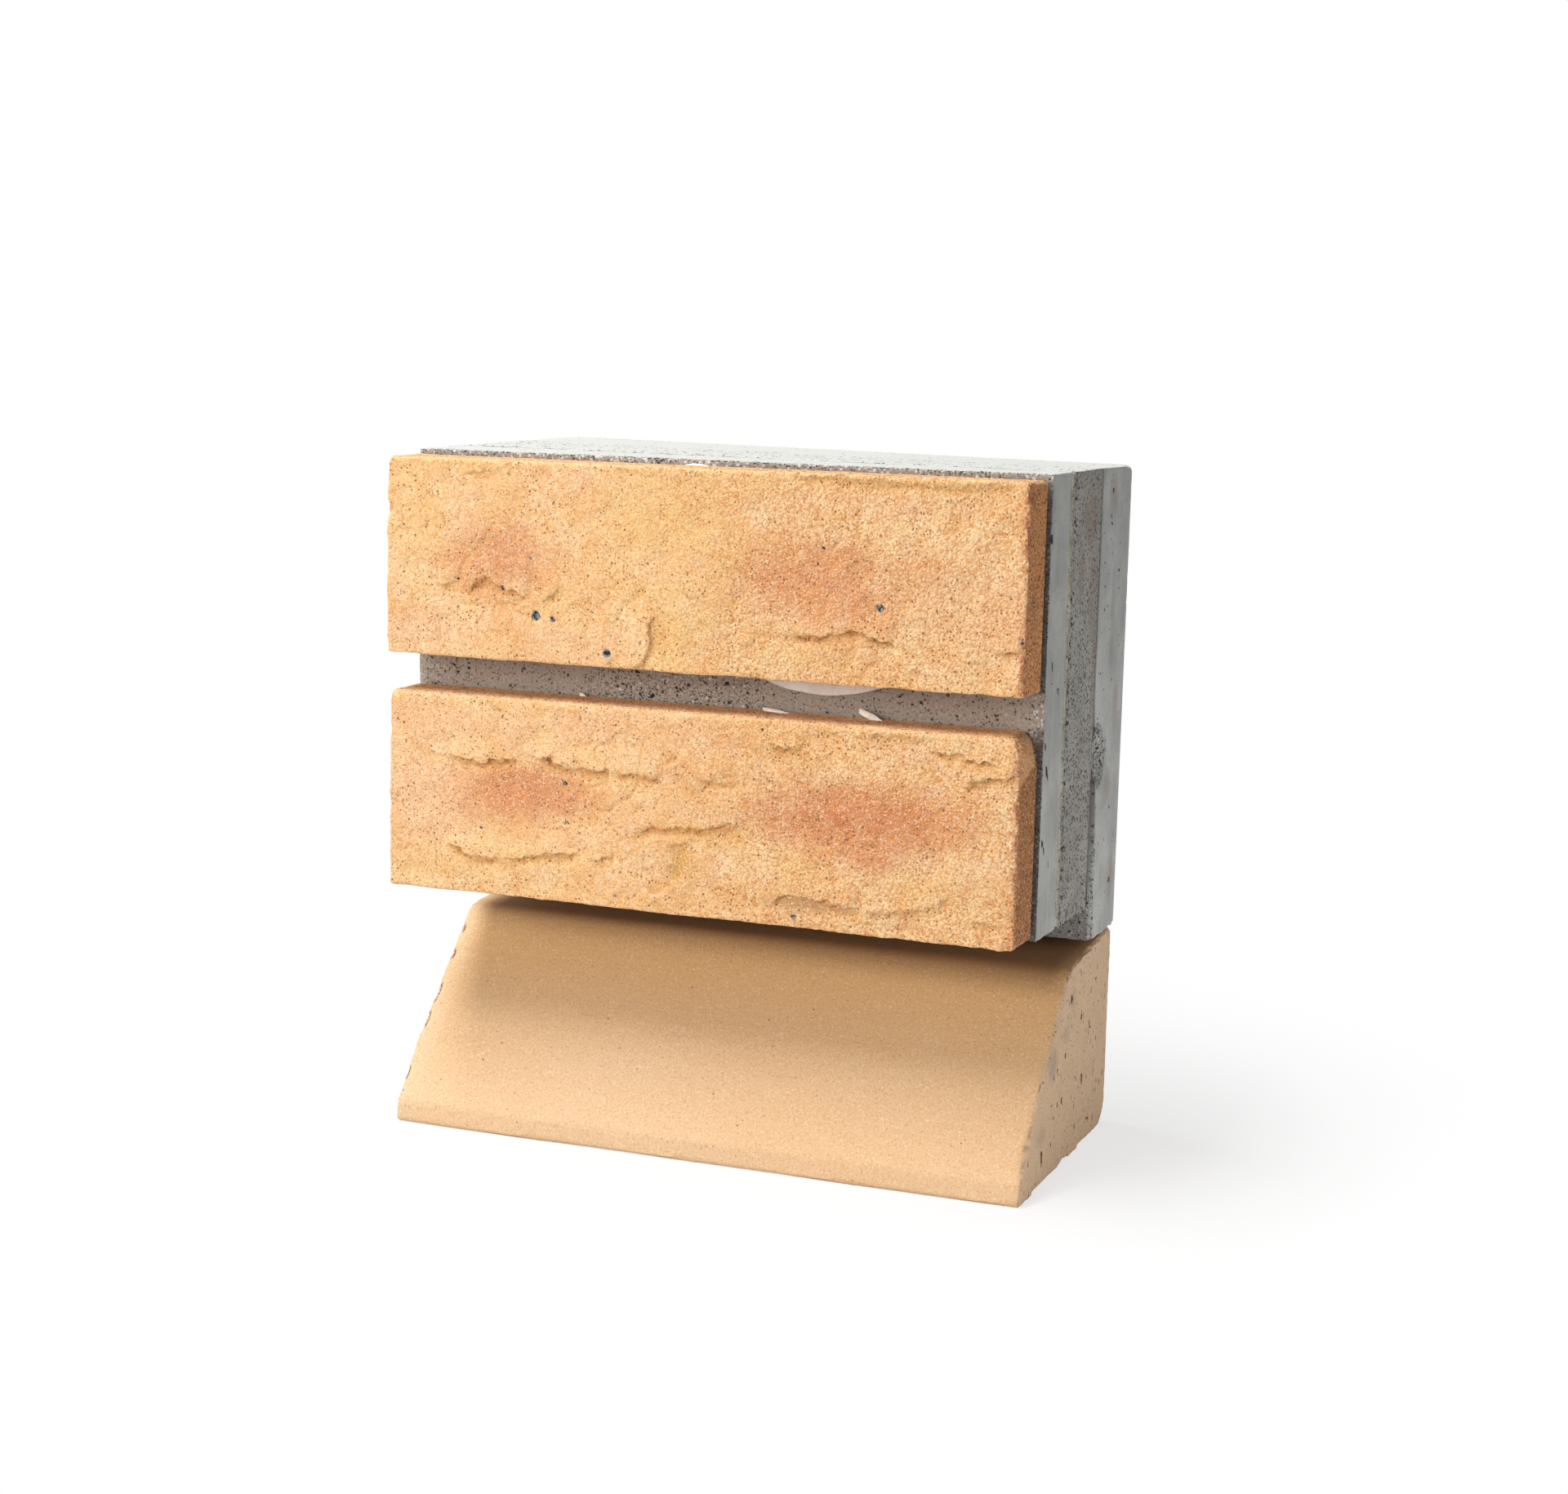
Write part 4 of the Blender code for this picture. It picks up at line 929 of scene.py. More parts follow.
def concrete_material(name, settings, ground, streaks, holes, porous=None):
    """Cement board: mottled ground, streaks on its sawn ends, sand specks and air holes."""
    shader = Shader(name, 0.85)
    facing = shader.facing()
    clouds = shader.band(shader.noise(18.0, 4.0, 0.6), 0.3, 0.72)
    fine = shader.noise(1.2, 3.0, 0.65, shift=(3.0, 8.0, 1.0))
    lighter = tuple(min(1.0, value * 1.16) for value in ground[:3]) + (1.0,)
    darker = tuple(value * 0.8 for value in ground[:3]) + (1.0,)
    base = shader.mix(clouds, darker, lighter)
    upright = shader.noise(2.6, 2.0, 0.5, stretch=(1.0, 1.0, 0.035))
    streak = shader.math("MULTIPLY", shader.band(upright, 0.35, 0.7), streaks)
    at_end = shader.band(facing["X"], 0.5, 0.8)
    base = shader.mix(shader.math("MULTIPLY", streak, at_end), base, lighter)
    base = shader.mix(shader.band(facing["Z"], 0.5, 0.85), base, tuple(settings.dust))
    if porous is not None:
        at_front = shader.band(facing["Y"], -0.35, -0.7)
        base = shader.mix(at_front, base, tuple(porous))
    base = shader.mix(shader.band(fine, 0.45, 0.3, 0.0, 0.5), base, darker)
    base = shader.mix(shader.band(fine, 0.6, 0.72, 0.0, 0.4), base, lighter)
    pore = shader.attribute("pore")
    small = shader.specks(1.5, 0.34, holes)
    larger = shader.specks(4.2, 0.12, holes, shift=(0.04, 0.02, 0.09))
    specks = shader.math("MAXIMUM", small, larger)
    pores, grains = shader.pores(pore)
    sandy = shader.noise(0.95, 2.0, 0.65, shift=(0.03, 0.09, 0.05))
    rough = shader.band(pore, 0.0, 0.6, 0.0, 0.95)
    base = shader.mix(shader.math("MULTIPLY", shader.band(sandy, 0.45, 0.33), rough), base, srgb(92, 86, 80))
    base = shader.mix(shader.math("MULTIPLY", shader.band(sandy, 0.55, 0.68), rough), base, srgb(206, 198, 188))
    # Painted shade, with some grime: darker in the strip behind the slips, along the seams, in the rear board's broken
    # hollow and along the front board's crumbly top.
    grime = shader.attribute("grime")
    base = shader.mix(grime, base, srgb(104, 97, 92))
    bright = shader.band(grime, 0.2, 0.8, 0.8, 0.25)
    base = shader.mix(shader.math("MULTIPLY", grains, bright), base, srgb(230, 222, 214))
    # Painted shade inside the air holes and pores.
    base = shader.mix(shader.math("MULTIPLY", specks, 0.8), base, tuple(settings.hole))
    base = shader.mix(shader.math("MULTIPLY", pores, 0.85), base, tuple(settings.hole))
    base = shader.mix(shader.band(shader.attribute("hole"), 0.35, 0.65), base, tuple(settings.hole))
    base = shader.mix(shader.math("MULTIPLY", shader.attribute("rust"), 0.7), base, tuple(settings.rust))
    normal = shader.bump(fine, 0.25, 0.7)
    normal = shader.bump(shader.math("MULTIPLY", shader.math("MAXIMUM", specks, pores), -1.0), 0.4, 0.8, normal)
    return shader.finish(base, normal, shader.band(fine, 0.3, 0.7, 0.92, 0.75))


def build_front_board():
    low, high = board_box("front_board")
    upper_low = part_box("upper_brick_slip")[0].z / MM
    lower_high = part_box("lower_brick_slip")[1].z / MM
    zones = ((lower_high - 3.0, 3.0), (upper_low + 1.0, 0.6), (high[2] - 5.0, 3.0), (high[2], 0.6))
    block, low, high = build_board("front_board", "front_cement_board", zones, 0.6 * MM, 0.9 * MM)
    merge_flat_side(block, 1, high[1] * MM)
    points = points_of(block)

    def dig(moved, normals, out, layers):
        front = soft_step(-normals[:, 1], 0.4, 0.8)
        right_strip = soft_step(moved[:, 0], high[0] - 7.0, high[0] - 3.0)
        left_strip = 0.6 * soft_step(moved[:, 0], low[0] + 34.0, low[0] + 4.0)
        top_strip = soft_step(moved[:, 2], high[2] - 6.0, high[2] - 2.0)
        middle = 0.45 * soft_step(np.abs(moved[:, 0] + 15.0), 40.0, 24.0)
        layers["pore"] += front * np.maximum.reduce([right_strip, left_strip, top_strip, middle + 0.32])
        on_top = soft_step(normals[:, 2], 0.4, 0.8)
        fringe = soft_step(moved[:, 1] + 1.4 * waves(moved, 4.0, 2, 24.0), low[1] + 3.4, low[1] + 1.4)
        crumbly = np.maximum(front * top_strip, on_top * fringe)
        layers["pore"] = np.maximum(layers["pore"], 1.6 * crumbly)
        layers["grime"] += 0.1 * crumbly
        # Painted shade on the strip of the front face behind the slips' right ends.
        beside_slip = soft_step(moved[:, 0], high[0] - 3.5, high[0] - 2.0) * (np.abs(moved[:, 2] - 167.8) > 6.0)
        layers["grime"] += 0.8 * front * beside_slip * soft_step(moved[:, 2], high[2] - 2.0, high[2] - 5.0)
        mark = layers["hole"]
        dig_pits(moved, normals, FRONT_BOARD_PITS, mark, out)
        joint_low, joint_high = (low[0], lower_high - 3.0), (high[0], upper_low + 1.0)
        scatter_holes(moved, normals, (1, -1), 90, 11, (0.3, 0.75), out, mark, joint_low, joint_high)
        scatter_holes(moved, normals, (1, -1), 70, 12, (0.3, 0.8), out, mark, (-42.0, lower_high - 2.0), (14.0, upper_low))
        scatter_holes(moved, normals, (1, -1), 50, 13, (0.3, 0.7), out, mark, (low[0], high[2] - 4.5), (high[0], high[2]))
        scatter_holes(moved, normals, (2, 1), 240, 14, (0.45, 1.0), out, mark, (low[0], low[1]), (high[0], low[1] + 2.6))

    finish_board(block, points, np.full(len(points), 0.6), low, high, 0.14, 21.0, dig)
    return block


def build_middle_board():
    high = board_box("middle_board")[1]
    zones = ((high[2], 0.9),)
    block, low, high = build_board("middle_board", "middle_cement_board", zones, 1.3 * MM, 0.8 * MM)
    merge_flat_side(block, 1, high[1] * MM)
    merge_flat_side(block, 1, low[1] * MM)
    points = points_of(block)

    def dig(moved, normals, out, layers):
        end = soft_step(normals[:, 0], 0.4, 0.8)
        ragged = waves(moved, 4.0, 2, 35.0)
        front_edge = soft_step(moved[:, 1] + 2.0 * ragged, low[1] + 3.6, low[1] + 1.2)
        lower = soft_step(moved[:, 2], 190.0, 130.0)
        layers["pore"] += end * np.maximum(0.6 + 0.08 * lower, 0.95 * front_edge)
        # Darker low down and along the rough front edge, and painted shade along the rear edge, in the gap to the rear
        # board.
        rear_edge = soft_step(moved[:, 1], high[1] - 1.1, high[1] - 0.4)
        layers["grime"] += end * (0.03 + 0.1 * lower + 0.2 * front_edge + 0.6 * rear_edge)
        layers["rust"] += end * marks(moved[:, 1:3], MIDDLE_STAINS, 0.5)
        window = ((low[1], low[2]), (low[1] + 4.0, high[2]))
        scatter_holes(moved, normals, (0, 1), 150, 31, (0.4, 0.9), out, layers["hole"], *window)
        window = ((low[1] + 2.0, low[2]), (high[1] - 2.0, 175.0))
        scatter_holes(moved, normals, (0, 1), 170, 32, (0.35, 0.75), out, layers["hole"], *window)
        window = ((low[0], high[1] - 12.0), (high[0] - 60.0, high[1] - 9.0))
        scatter_holes(moved, normals, (2, 1), 60, 33, (0.4, 1.0), out, layers["hole"], *window)

    finish_board(block, points, np.full(len(points), 0.7), low, high, 0.16, 31.0, dig)
    return block


def build_rear_board():
    high = board_box("rear_board")[1]
    zones = ((high[2], 1.0),)
    block, low, high = build_board("rear_board", "rear_cement_board", zones, 1.6 * MM, 0.85 * MM)
    points = points_of(block)

    def damage(moved, layers):
        """Hollows the right end out with a ball and breaks its front arris away in a wedge."""
        hollow_y, hollow_z, reach, depth = REAR_HOLLOW
        ball = (reach ** 2 + depth ** 2) / (2.0 * depth)
        away = np.hypot(moved[:, 1] - hollow_y, moved[:, 2] - hollow_z) + 2.2 * waves(moved, 5.0, 3, 44.0)
        inside = away < reach
        worn, width_worn = REAR_FLUSH
        at_right = soft_step(moved[:, 0], high[0] - 8.0, high[0] - 1.0)
        flush = soft_step(moved[:, 2], 125.0, 170.0) * np.clip(1.0 - (moved[:, 1] - low[1]) / width_worn, 0.0, 1.0)
        moved[:, 0] -= worn * flush * at_right
        floor_x = high[0] - depth + ball - np.sqrt(np.maximum(ball ** 2 - away ** 2, 0.0))
        moved[:, 0] = np.where(inside, np.minimum(moved[:, 0], floor_x), moved[:, 0])
        down = np.clip((WEDGE_TOP - moved[:, 2]) / (WEDGE_TOP - low[2]), 0.0, 1.0)
        rough = 1.0 + 0.35 * waves(moved, 4.0, 2, 45.0)
        width = WEDGE_FOOT[0] * down * rough
        depth_in = WEDGE_FOOT[1] * down * rough
        at = (high[0] - moved[:, 0]) / np.maximum(depth_in, 0.01) + (moved[:, 1] - low[1]) / np.maximum(width, 0.01)
        short = np.clip(1.0 - at, 0.0, 1.0) * (down > 0.0)
        moved[:, 0] -= 0.5 * short * depth_in
        moved[:, 1] += 0.5 * short * width
        broken = np.maximum(soft_step(away, reach + 0.6, reach - 1.2), soft_step(short, 0.0, 0.15))
        layers["pore"] += broken * (moved[:, 0] > high[0] - 8.0)
        # Painted shade in the hollow and the broken arris.
        layers["grime"] += 0.35 * broken * (moved[:, 0] > high[0] - 8.0)
        return moved

    def dig(moved, normals, out, layers):
        end = soft_step(normals[:, 0], 0.4, 0.8)
        layers["rust"] += end * marks(moved[:, 1:3], REAR_STAINS, 0.6)
        front = soft_step(-normals[:, 1], 0.4, 0.8)
        layers["pore"] += 0.9 * front * soft_step(moved[:, 2], low[2] + 16.0, low[2] + 12.0)
        # Painted shade along the front arris, in the gap behind the middle board.
        layers["grime"] += 0.5 * front * soft_step(moved[:, 1], low[1] + 0.8, low[1] + 0.3)
        dig_pits(moved, normals, REAR_BOARD_PITS, layers["hole"], out)

    radius = 0.9 + 1.6 * soft_step(points[:, 1], high[1] - 8.0, high[1] - 2.0)
    finish_board(block, points, radius, low, high, 0.1, 41.0, dig, damage)
    return block


def build_bonding_layer():
    high = board_box("bonding_layer")[1]
    zones = ((high[2], 0.9),)
    block, low, high = build_board("bonding_layer", "bonding_mortar_layer", zones, 2.0 * MM, 0.6 * MM)
    merge_flat_side(block, 1, high[1] * MM)
    merge_flat_side(block, 1, low[1] * MM)
    points = points_of(block)

    def dig(moved, normals, out, layers):
        end = soft_step(normals[:, 0], 0.4, 0.8)
        ragged = waves(moved, 5.0, 2, 55.0)
        behind = soft_step(moved[:, 1] + 2.0 * ragged, high[1] - 2.6, high[1] - 1.2)
        layers["pore"] += end * np.maximum(behind, 0.3)
        # Darker towards the middle board: painted shade along the seam.
        layers["grime"] += 0.5 * end * behind

    finish_board(block, points, np.full(len(points), 0.3), low, high, 0.12, 51.0, dig)
    return block


# How far a dab has sagged below its solid's place, in millimetres.
DAB_SAG = {"adhesive_dab_top": 1.0}


def build_dab(node, name):
    """A pat of adhesive pressed flat: a cylinder with a soft, uneven rim."""
    low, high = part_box(node)
    middle = (low + high) / 2.0
    half = (high - low) / 2.0
    deselect_all()
    bpy.ops.mesh.primitive_cylinder_add(
        vertices=128, radius=half.x, depth=2.0 * half.y, location=middle, rotation=(math.pi / 2.0, 0.0, 0.0)
    )
    dab = bpy.context.object
    dab.name = name
    dab.data.name = name
    dab.scale.y = half.z / half.x
    bpy.ops.object.transform_apply(location=True, rotation=True, scale=True)
    bpy.ops.object.mode_set(mode="EDIT")
    bpy.ops.mesh.select_mode(type="FACE")
    bpy.ops.mesh.select_all(action="DESELECT")
    bm = bmesh.from_edit_mesh(dab.data)
    for face in bm.faces:
        face.select_set(len(face.verts) > 4)
    bmesh.update_edit_mesh(dab.data)
    bpy.ops.mesh.inset(thickness=0.8 * MM, depth=0.0)
    bpy.ops.mesh.inset(thickness=1.6 * MM, depth=0.0)
    bpy.ops.mesh.select_mode(type="EDGE")
    bpy.ops.mesh.select_all(action="DESELECT")
    bm = bmesh.from_edit_mesh(dab.data)
    for edge in bm.edges:
        level = abs(edge.verts[0].co.y - edge.verts[1].co.y) < 1e-7
        rim = all(math.hypot((v.co.x - middle.x) / half.x, (v.co.z - middle.z) / half.z) > 0.999 for v in edge.verts)
        edge.select_set(level and rim)
    bmesh.update_edit_mesh(dab.data)
    bpy.ops.mesh.bevel(offset=0.6 * MM, segments=3, affect="EDGES")
    bpy.ops.object.mode_set(mode="OBJECT")
    points = points_of(dab)
    centre = np.array(middle) / MM
    away = points[:, [0, 2]] - centre[[0, 2]]
    reach = np.hypot(away[:, 0] / half.x, away[:, 1] / half.z) * MM
    wobble = waves(points * np.array((1.0, 0.0, 1.0)), 14.0, 2, 61.0)
    share = -0.008 - 0.012 * wobble
    points[:, [0, 2]] += away * (share * soft_step(reach, 0.6, 1.0))[:, None]
    points[:, 2] -= DAB_SAG.get(node, 0.0)
    move_points(dab, points)
    finish_mesh(dab, 50.0)
    return dab


def build_flake(name, start, stop, width, curl):
    """A dried sliver of adhesive lying across the lower slip's top: a thin, curled strip."""
    start, stop = Vector(start) * MM, Vector(stop) * MM
    run = stop - start
    deselect_all()
    bpy.ops.mesh.primitive_grid_add(x_subdivisions=18, y_subdivisions=6, size=1.0)
    flake = bpy.context.object
    flake.name = name
    flake.data.name = name
    solid = flake.modifiers.new("thickness", "SOLIDIFY")
    solid.thickness = 0.5 * MM
    solid.offset = 0.0
    points = points_of(flake) * MM
    along = points[:, 0] + 0.5
    across = points[:, 1]
    taper = 0.25 + 0.75 * np.sin(math.pi * np.clip(along + 0.12, 0.0, 1.0)) ** 0.7
    ragged = 0.12 * waves(np.column_stack((along, across, across)), 0.2, 2, 63.0)
    place = np.array(start)[None] + along[:, None] * np.array(run)[None]
    place[:, 2] += (across * taper + ragged * taper) * width * MM
    place[:, 1] += curl * MM * (np.sin(math.pi * along) * 0.6 + (across * 2.0) ** 2 * 0.5)
    move_points(flake, place / MM)
    apply_modifiers(flake)
    finish_mesh(flake, 60.0)
    return flake


def adhesive_material(settings):
    shader = Shader("dried_adhesive", 0.6)
    clouds = shader.band(shader.noise(6.0, 3.0, 0.5), 0.35, 0.7)
    base = shader.mix(clouds, tuple(settings.adhesive), srgb(240, 234, 224))
    fine = shader.noise(0.9, 2.0, 0.5)
    base = shader.mix(shader.band(fine, 0.42, 0.3, 0.0, 0.4), base, srgb(178, 168, 152))
    normal = shader.bump(shader.noise(5.0, 2.0), 0.4, 0.6, shader.bump(fine, 0.08, 0.6))
    return shader.finish(base, normal, shader.band(clouds, 0.0, 1.0, 0.55, 0.72))


def copy_node(node, name):
    """A closed copy of a solid's mesh, its loose triangles merged."""
    deselect_all()
    copy = bpy.data.objects.new(name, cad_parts[node].data.copy())
    copy.data.name = name
    copy.data.materials.clear()
    bpy.context.scene.collection.objects.link(copy)
    make_active(copy)
    bpy.ops.object.mode_set(mode="EDIT")
    bpy.ops.mesh.select_all(action="SELECT")
    bpy.ops.mesh.remove_doubles(threshold=1e-6)
    bpy.ops.mesh.customdata_custom_splitnormals_clear()
    bpy.ops.object.mode_set(mode="OBJECT")
    return copy


def build_sill(settings):
    """The sill brick: its solid's shape as an even grid, then worn, pitted and chipped."""
    sill = copy_node("sill_brick", "sill_brick_body")
    remesh = sill.modifiers.new("even_grid", "REMESH")
    remesh.mode = "VOXEL"
    remesh.voxel_size = settings.voxel
    apply_modifiers(sill)
    points = points_of(sill)
    normals = normals_of(sill)
    out = settings.waviness / MM * waves(points, 34.0, 2, 71.0) - 0.15
    drag = waves(points, (60.0, 2.2, 2.2), 2, 72.0)
    at_end = soft_step(np.abs(normals[:, 0]), 0.5, 0.8)
    out += 0.05 * drag * (1.0 - at_end)
    out += 0.12 * waves(points, 1.8, 2, 73.0) * (0.35 + 0.65 * at_end)
    mark = np.zeros(len(points))
    dig_pits(points, normals, SILL_PITS, mark, out)
    box_low, box_high = (np.array(corner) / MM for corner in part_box("sill_brick"))
    from_right = box_high[0] - points[:, 0]
    sharp = soft_step(np.abs(normals[:, 0]), 0.12, 0.4) * soft_step(np.abs(normals[:, 0]), 0.97, 0.8)
    ragged = waves(points, 4.0, 3, 74.0)
    at_foot = soft_step(points[:, 2], 34.0, 20.0)
    near_right = soft_step(from_right, 6.0, 1.0) * sharp
    out -= near_right * (0.5 + 1.1 * np.clip(ragged, 0.0, 1.0)) * (1.0 - 0.8 * at_foot)
    chipped = np.zeros(len(points))
    for z, half_length, depth in LEFT_CHIPS:
        at = np.exp(-((points[:, 2] - z) / half_length) ** 2) * soft_step(points[:, 0], box_low[0] + 4.2, box_low[0] + 1.6)
        at *= soft_step(normals[:, 1], -0.2, -0.35) * np.clip(1.0 + 0.8 * ragged, 0.0, 1.5)
        out -= depth * np.clip(at, 0.0, 1.0)
        chipped = np.maximum(chipped, soft_step(at, 0.2, 0.45))
    turned = soft_step(normals[:, 0], 0.35, 0.6)
    chipped = np.maximum(chipped, 0.5 * near_right * at_foot * turned * soft_step(ragged, -0.3, 0.3))
    moved = points + normals * out[:, None]
    low, high = (np.array(corner) / MM for corner in CAD_BOX)
    moved = np.clip(moved, low, high)
    move_points(sill, moved)
    layers = {layer: np.zeros(len(points)) for layer in ("crease", "crease_depth")}
    on_slope = soft_step(-normals[:, 1], 0.2, 0.4)
    for path, depth in SILL_CRACKS:
        side, share = beside_path(points[:, [0, 2]], path, 4.0)
        keep_crease(layers, on_slope > 0.0, side[on_slope > 0.0], (share * depth * on_slope)[on_slope > 0.0])
    for layer, values in layers.items():
        paint(sill, layer, values)
    paint(sill, "hole", mark)
    flat_end = soft_step(np.abs(normals[:, 0]), 0.6, 0.85)
    paint(sill, "end", np.where(at_foot > 0.5, flat_end, np.maximum(at_end, near_right)))
    paint(sill, "chip", chipped)
    inward = soft_step(from_right, 1.0, 9.0) * soft_step(points[:, 0] - box_low[0], 1.0, 9.0)
    # Painted shade on the up-facing ledge behind and under the slips, weaker near the sill's ends.
    paint(sill, "dusk", soft_step(points[:, 1], -8.0, 4.0) * soft_step(normals[:, 2], 0.3, 0.6) * (0.25 + 0.75 * inward))
    paint(sill, "stain", marks(points[:, [1, 2]], SILL_STAINS, 0.6) * soft_step(normals[:, 0], 0.5, 0.8))
    finish_mesh(sill, 50.0)
    return sill


def sill_material(settings):
    """Extruded clay: even sandy faces, greyer cut ends with stains and air holes."""
    shader = Shader("extruded_clay", 0.82)
    clouds = shader.band(shader.noise(42.0, 3.0, 0.5, stretch=(0.35, 1.0, 1.0)), 0.35, 0.7)
    base = shader.mix(clouds, tuple(settings.sand), tuple(settings.tan))
    # Painted shade: warmer and darker towards the top of the slope, under the panel.
    base = shader.mix(shader.band(shader.place_along("Z"), 0.024, 0.064), base, tuple(settings.top_shade_tone))
    # Painted highlight: a paler, less red strip along the sill's left end, where the light falls fully.
    left = shader.band(shader.place_along("X"), -0.106, -0.117, 0.0, 0.6)
    base = shader.mix(left, base, srgb(220, 193, 156))
    fine = shader.noise(1.0, 3.0, 0.6, shift=(5.0, 3.0, 1.0))
    end = shader.attribute("end")
    cut = shader.mix(shader.band(shader.noise(9.0, 4.0, 0.6), 0.3, 0.7), tuple(settings.cut), srgb(231, 198, 161))
    base = shader.mix(end, base, cut)
    base = shader.mix(shader.math("MULTIPLY", shader.attribute("stain"), 0.8), base, tuple(settings.stain))
    base = shader.mix(shader.band(fine, 0.44, 0.3, 0.0, 0.45), base, srgb(204, 148, 94))
    base = shader.mix(shader.band(fine, 0.58, 0.72, 0.0, 0.5), base, srgb(255, 230, 194))
    sand = shader.noise(0.7, 1.0, 0.5, shift=(0.02, 0.01, 0.03))
    base = shader.mix(shader.band(sand, 0.44, 0.28, 0.0, 0.35), base, srgb(186, 132, 86))
    base = shader.mix(shader.band(sand, 0.58, 0.72, 0.0, 0.3), base, srgb(255, 232, 200))
    # Painted shade on the ledge under the panel.
    base = shader.mix(shader.math("MULTIPLY", shader.attribute("dusk"), 0.8), base, tuple(settings.dusk))
    fine_dark = shader.specks(2.2, 0.15, 0.3, shift=(0.03, 0.01, 0.05))
    base = shader.mix(shader.math("MULTIPLY", fine_dark, 0.55), base, srgb(164, 112, 74))
    dark = shader.specks(5.5, 0.08, 0.3)
    base = shader.mix(shader.math("MULTIPLY", dark, 0.7), base, srgb(134, 88, 62))
    # Painted shade in the slits and holes of the cut ends and in the dug air holes.
    slits = shader.specks(2.1, 0.22, 0.42, shift=(8.0, 1.0, 2.0), stretch=(1.0, 1.0, 0.38))
    dots = shader.specks(1.7, 0.2, 0.35, shift=(0.02, 0.06, 0.01))
    holes = shader.math("MULTIPLY", shader.math("MAXIMUM", slits, dots), end)
    base = shader.mix(shader.math("MULTIPLY", holes, 0.8), base, srgb(112, 70, 42))
    base = shader.mix(shader.band(shader.attribute("hole"), 0.3, 0.7), base, tuple(settings.hole))
    # The sill's cracks as thin dark lines: painted shade in the cracks.
    crack = shader.crease(0.55, 0.15)[0]
    base = shader.mix(shader.math("MULTIPLY", crack, 0.6), base, srgb(140, 96, 62))
    base = shader.mix(shader.math("MULTIPLY", shader.attribute("chip"), 0.9), base, srgb(104, 64, 54))
    normal = shader.bump(fine, 0.14, 0.7)
    normal = shader.bump(sand, 0.08, 0.7, normal)
    normal = shader.bump(shader.math("MULTIPLY", holes, -1.0), 0.35, 0.8, normal)
    return shader.finish(base, normal, shader.band(fine, 0.3, 0.7, 0.9, 0.75))


def install(piece, nodes, material):
    """Gives a finished piece its material and its place in the frame."""
    piece.data.materials.clear()
    piece.data.materials.append(material)
    if nodes:
        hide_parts(*nodes)
    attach(piece, BODY)


class PANELSAMPLE_OT_slips(bpy.types.Operator):
    """Model and finish the two split-face brick slips"""

    bl_idname = "panel_sample.slips"
    bl_label = "Brick Slips"

    def execute(self, context):
        settings = context.scene.slip_settings
        clay = slip_material(settings)
        for place, shape in (("upper", UPPER_SLIP), ("lower", LOWER_SLIP)):
            slip = build_slip(place + "_brick_slip", place + "_split_slip", settings, shape)
            install(slip, [place + "_brick_slip"], clay)
        return {"FINISHED"}


class PANELSAMPLE_OT_boards(bpy.types.Operator):
    """Model and finish the three cement boards and the bonding layer"""

    bl_idname = "panel_sample.boards"
    bl_label = "Cement Boards"

    def execute(self, context):
        settings = context.scene.board_settings
        pale = concrete_material("pale_cement", settings, settings.smooth_grey, 0.35, 0.06, settings.porous)
        rear = concrete_material("rear_cement", settings, settings.rear_grey, 0.35, 0.06)
        dark = concrete_material("speckled_cement", settings, settings.dark_grey, 0.1, 0.6)
        bond = concrete_material("bonding_mortar", settings, settings.bond, 0.1, 0.15)
        install(build_front_board(), ["front_board"], pale)
        install(build_middle_board(), ["middle_board"], dark)
        install(build_rear_board(), ["rear_board"], rear)
        install(build_bonding_layer(), ["bonding_layer"], bond)
        return {"FINISHED"}


class PANELSAMPLE_OT_adhesive(bpy.types.Operator):
    """Model and finish the dabs of adhesive behind the slips"""

    bl_idname = "panel_sample.adhesive"
    bl_label = "Adhesive"

    def execute(self, context):
        settings = context.scene.board_settings
        material = adhesive_material(settings)
        for node in sorted(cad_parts):
            if node.startswith("adhesive_dab"):
                install(build_dab(node, node.replace("adhesive_dab", "pressed_dab")), [node], material)
        for number, shape in enumerate(FLAKES):
            install(build_flake("adhesive_flake_%d" % number, *shape), [], material)
        return {"FINISHED"}


class PANELSAMPLE_OT_sill(bpy.types.Operator):
    """Model and finish the sloped sill brick"""

    bl_idname = "panel_sample.sill"
    bl_label = "Sill Brick"

    def execute(self, context):
        settings = context.scene.sill_settings
        install(build_sill(settings), ["sill_brick"], sill_material(settings))
        return {"FINISHED"}


CAMERA_PLACE = Vector((370.1, -892.5, 289.1)) * MM
CAMERA_TURN_DEG = 21.96
CAMERA_DIP_DEG = 8.675
CAMERA_ROLL_DEG = 1.341


def add_camera(settings):
    """The photograph's viewpoint: right of the middle, a little above, tilted by a degree."""
    data = bpy.data.cameras.new("photo_view")
    camera = bpy.data.objects.new("photo_view", data)
    bpy.context.scene.collection.objects.link(camera)
    data.sensor_width = 36.0
    data.lens = settings.lens
    data.clip_start = 0.01
    data.clip_end = 50.0
    turn = Matrix.Rotation(math.radians(CAMERA_TURN_DEG), 4, "Z")
    dip = Matrix.Rotation(math.radians(90.0 - CAMERA_DIP_DEG), 4, "X")
    roll = Matrix.Rotation(math.radians(CAMERA_ROLL_DEG), 4, "Z")
    camera.matrix_world = Matrix.Translation(CAMERA_PLACE) @ turn @ dip @ roll
    bpy.context.scene.camera = camera


def add_soft_light(name, place, target, size, level):
    """A soft light whose level is 1 when it makes a white face turned to it plain white."""
    data = bpy.data.lights.new(name, "AREA")
    data.shape = "RECTANGLE"
    data.size, data.size_y = size
    run = Vector(target) - Vector(place)
    data.energy = level * math.pi ** 2 * run.length_squared
    light = bpy.data.objects.new(name, data)
    bpy.context.scene.collection.objects.link(light)
    light.matrix_world = Matrix.Translation(place) @ run.to_track_quat("-Z", "Y").to_matrix().to_4x4()
    light.visible_camera = False


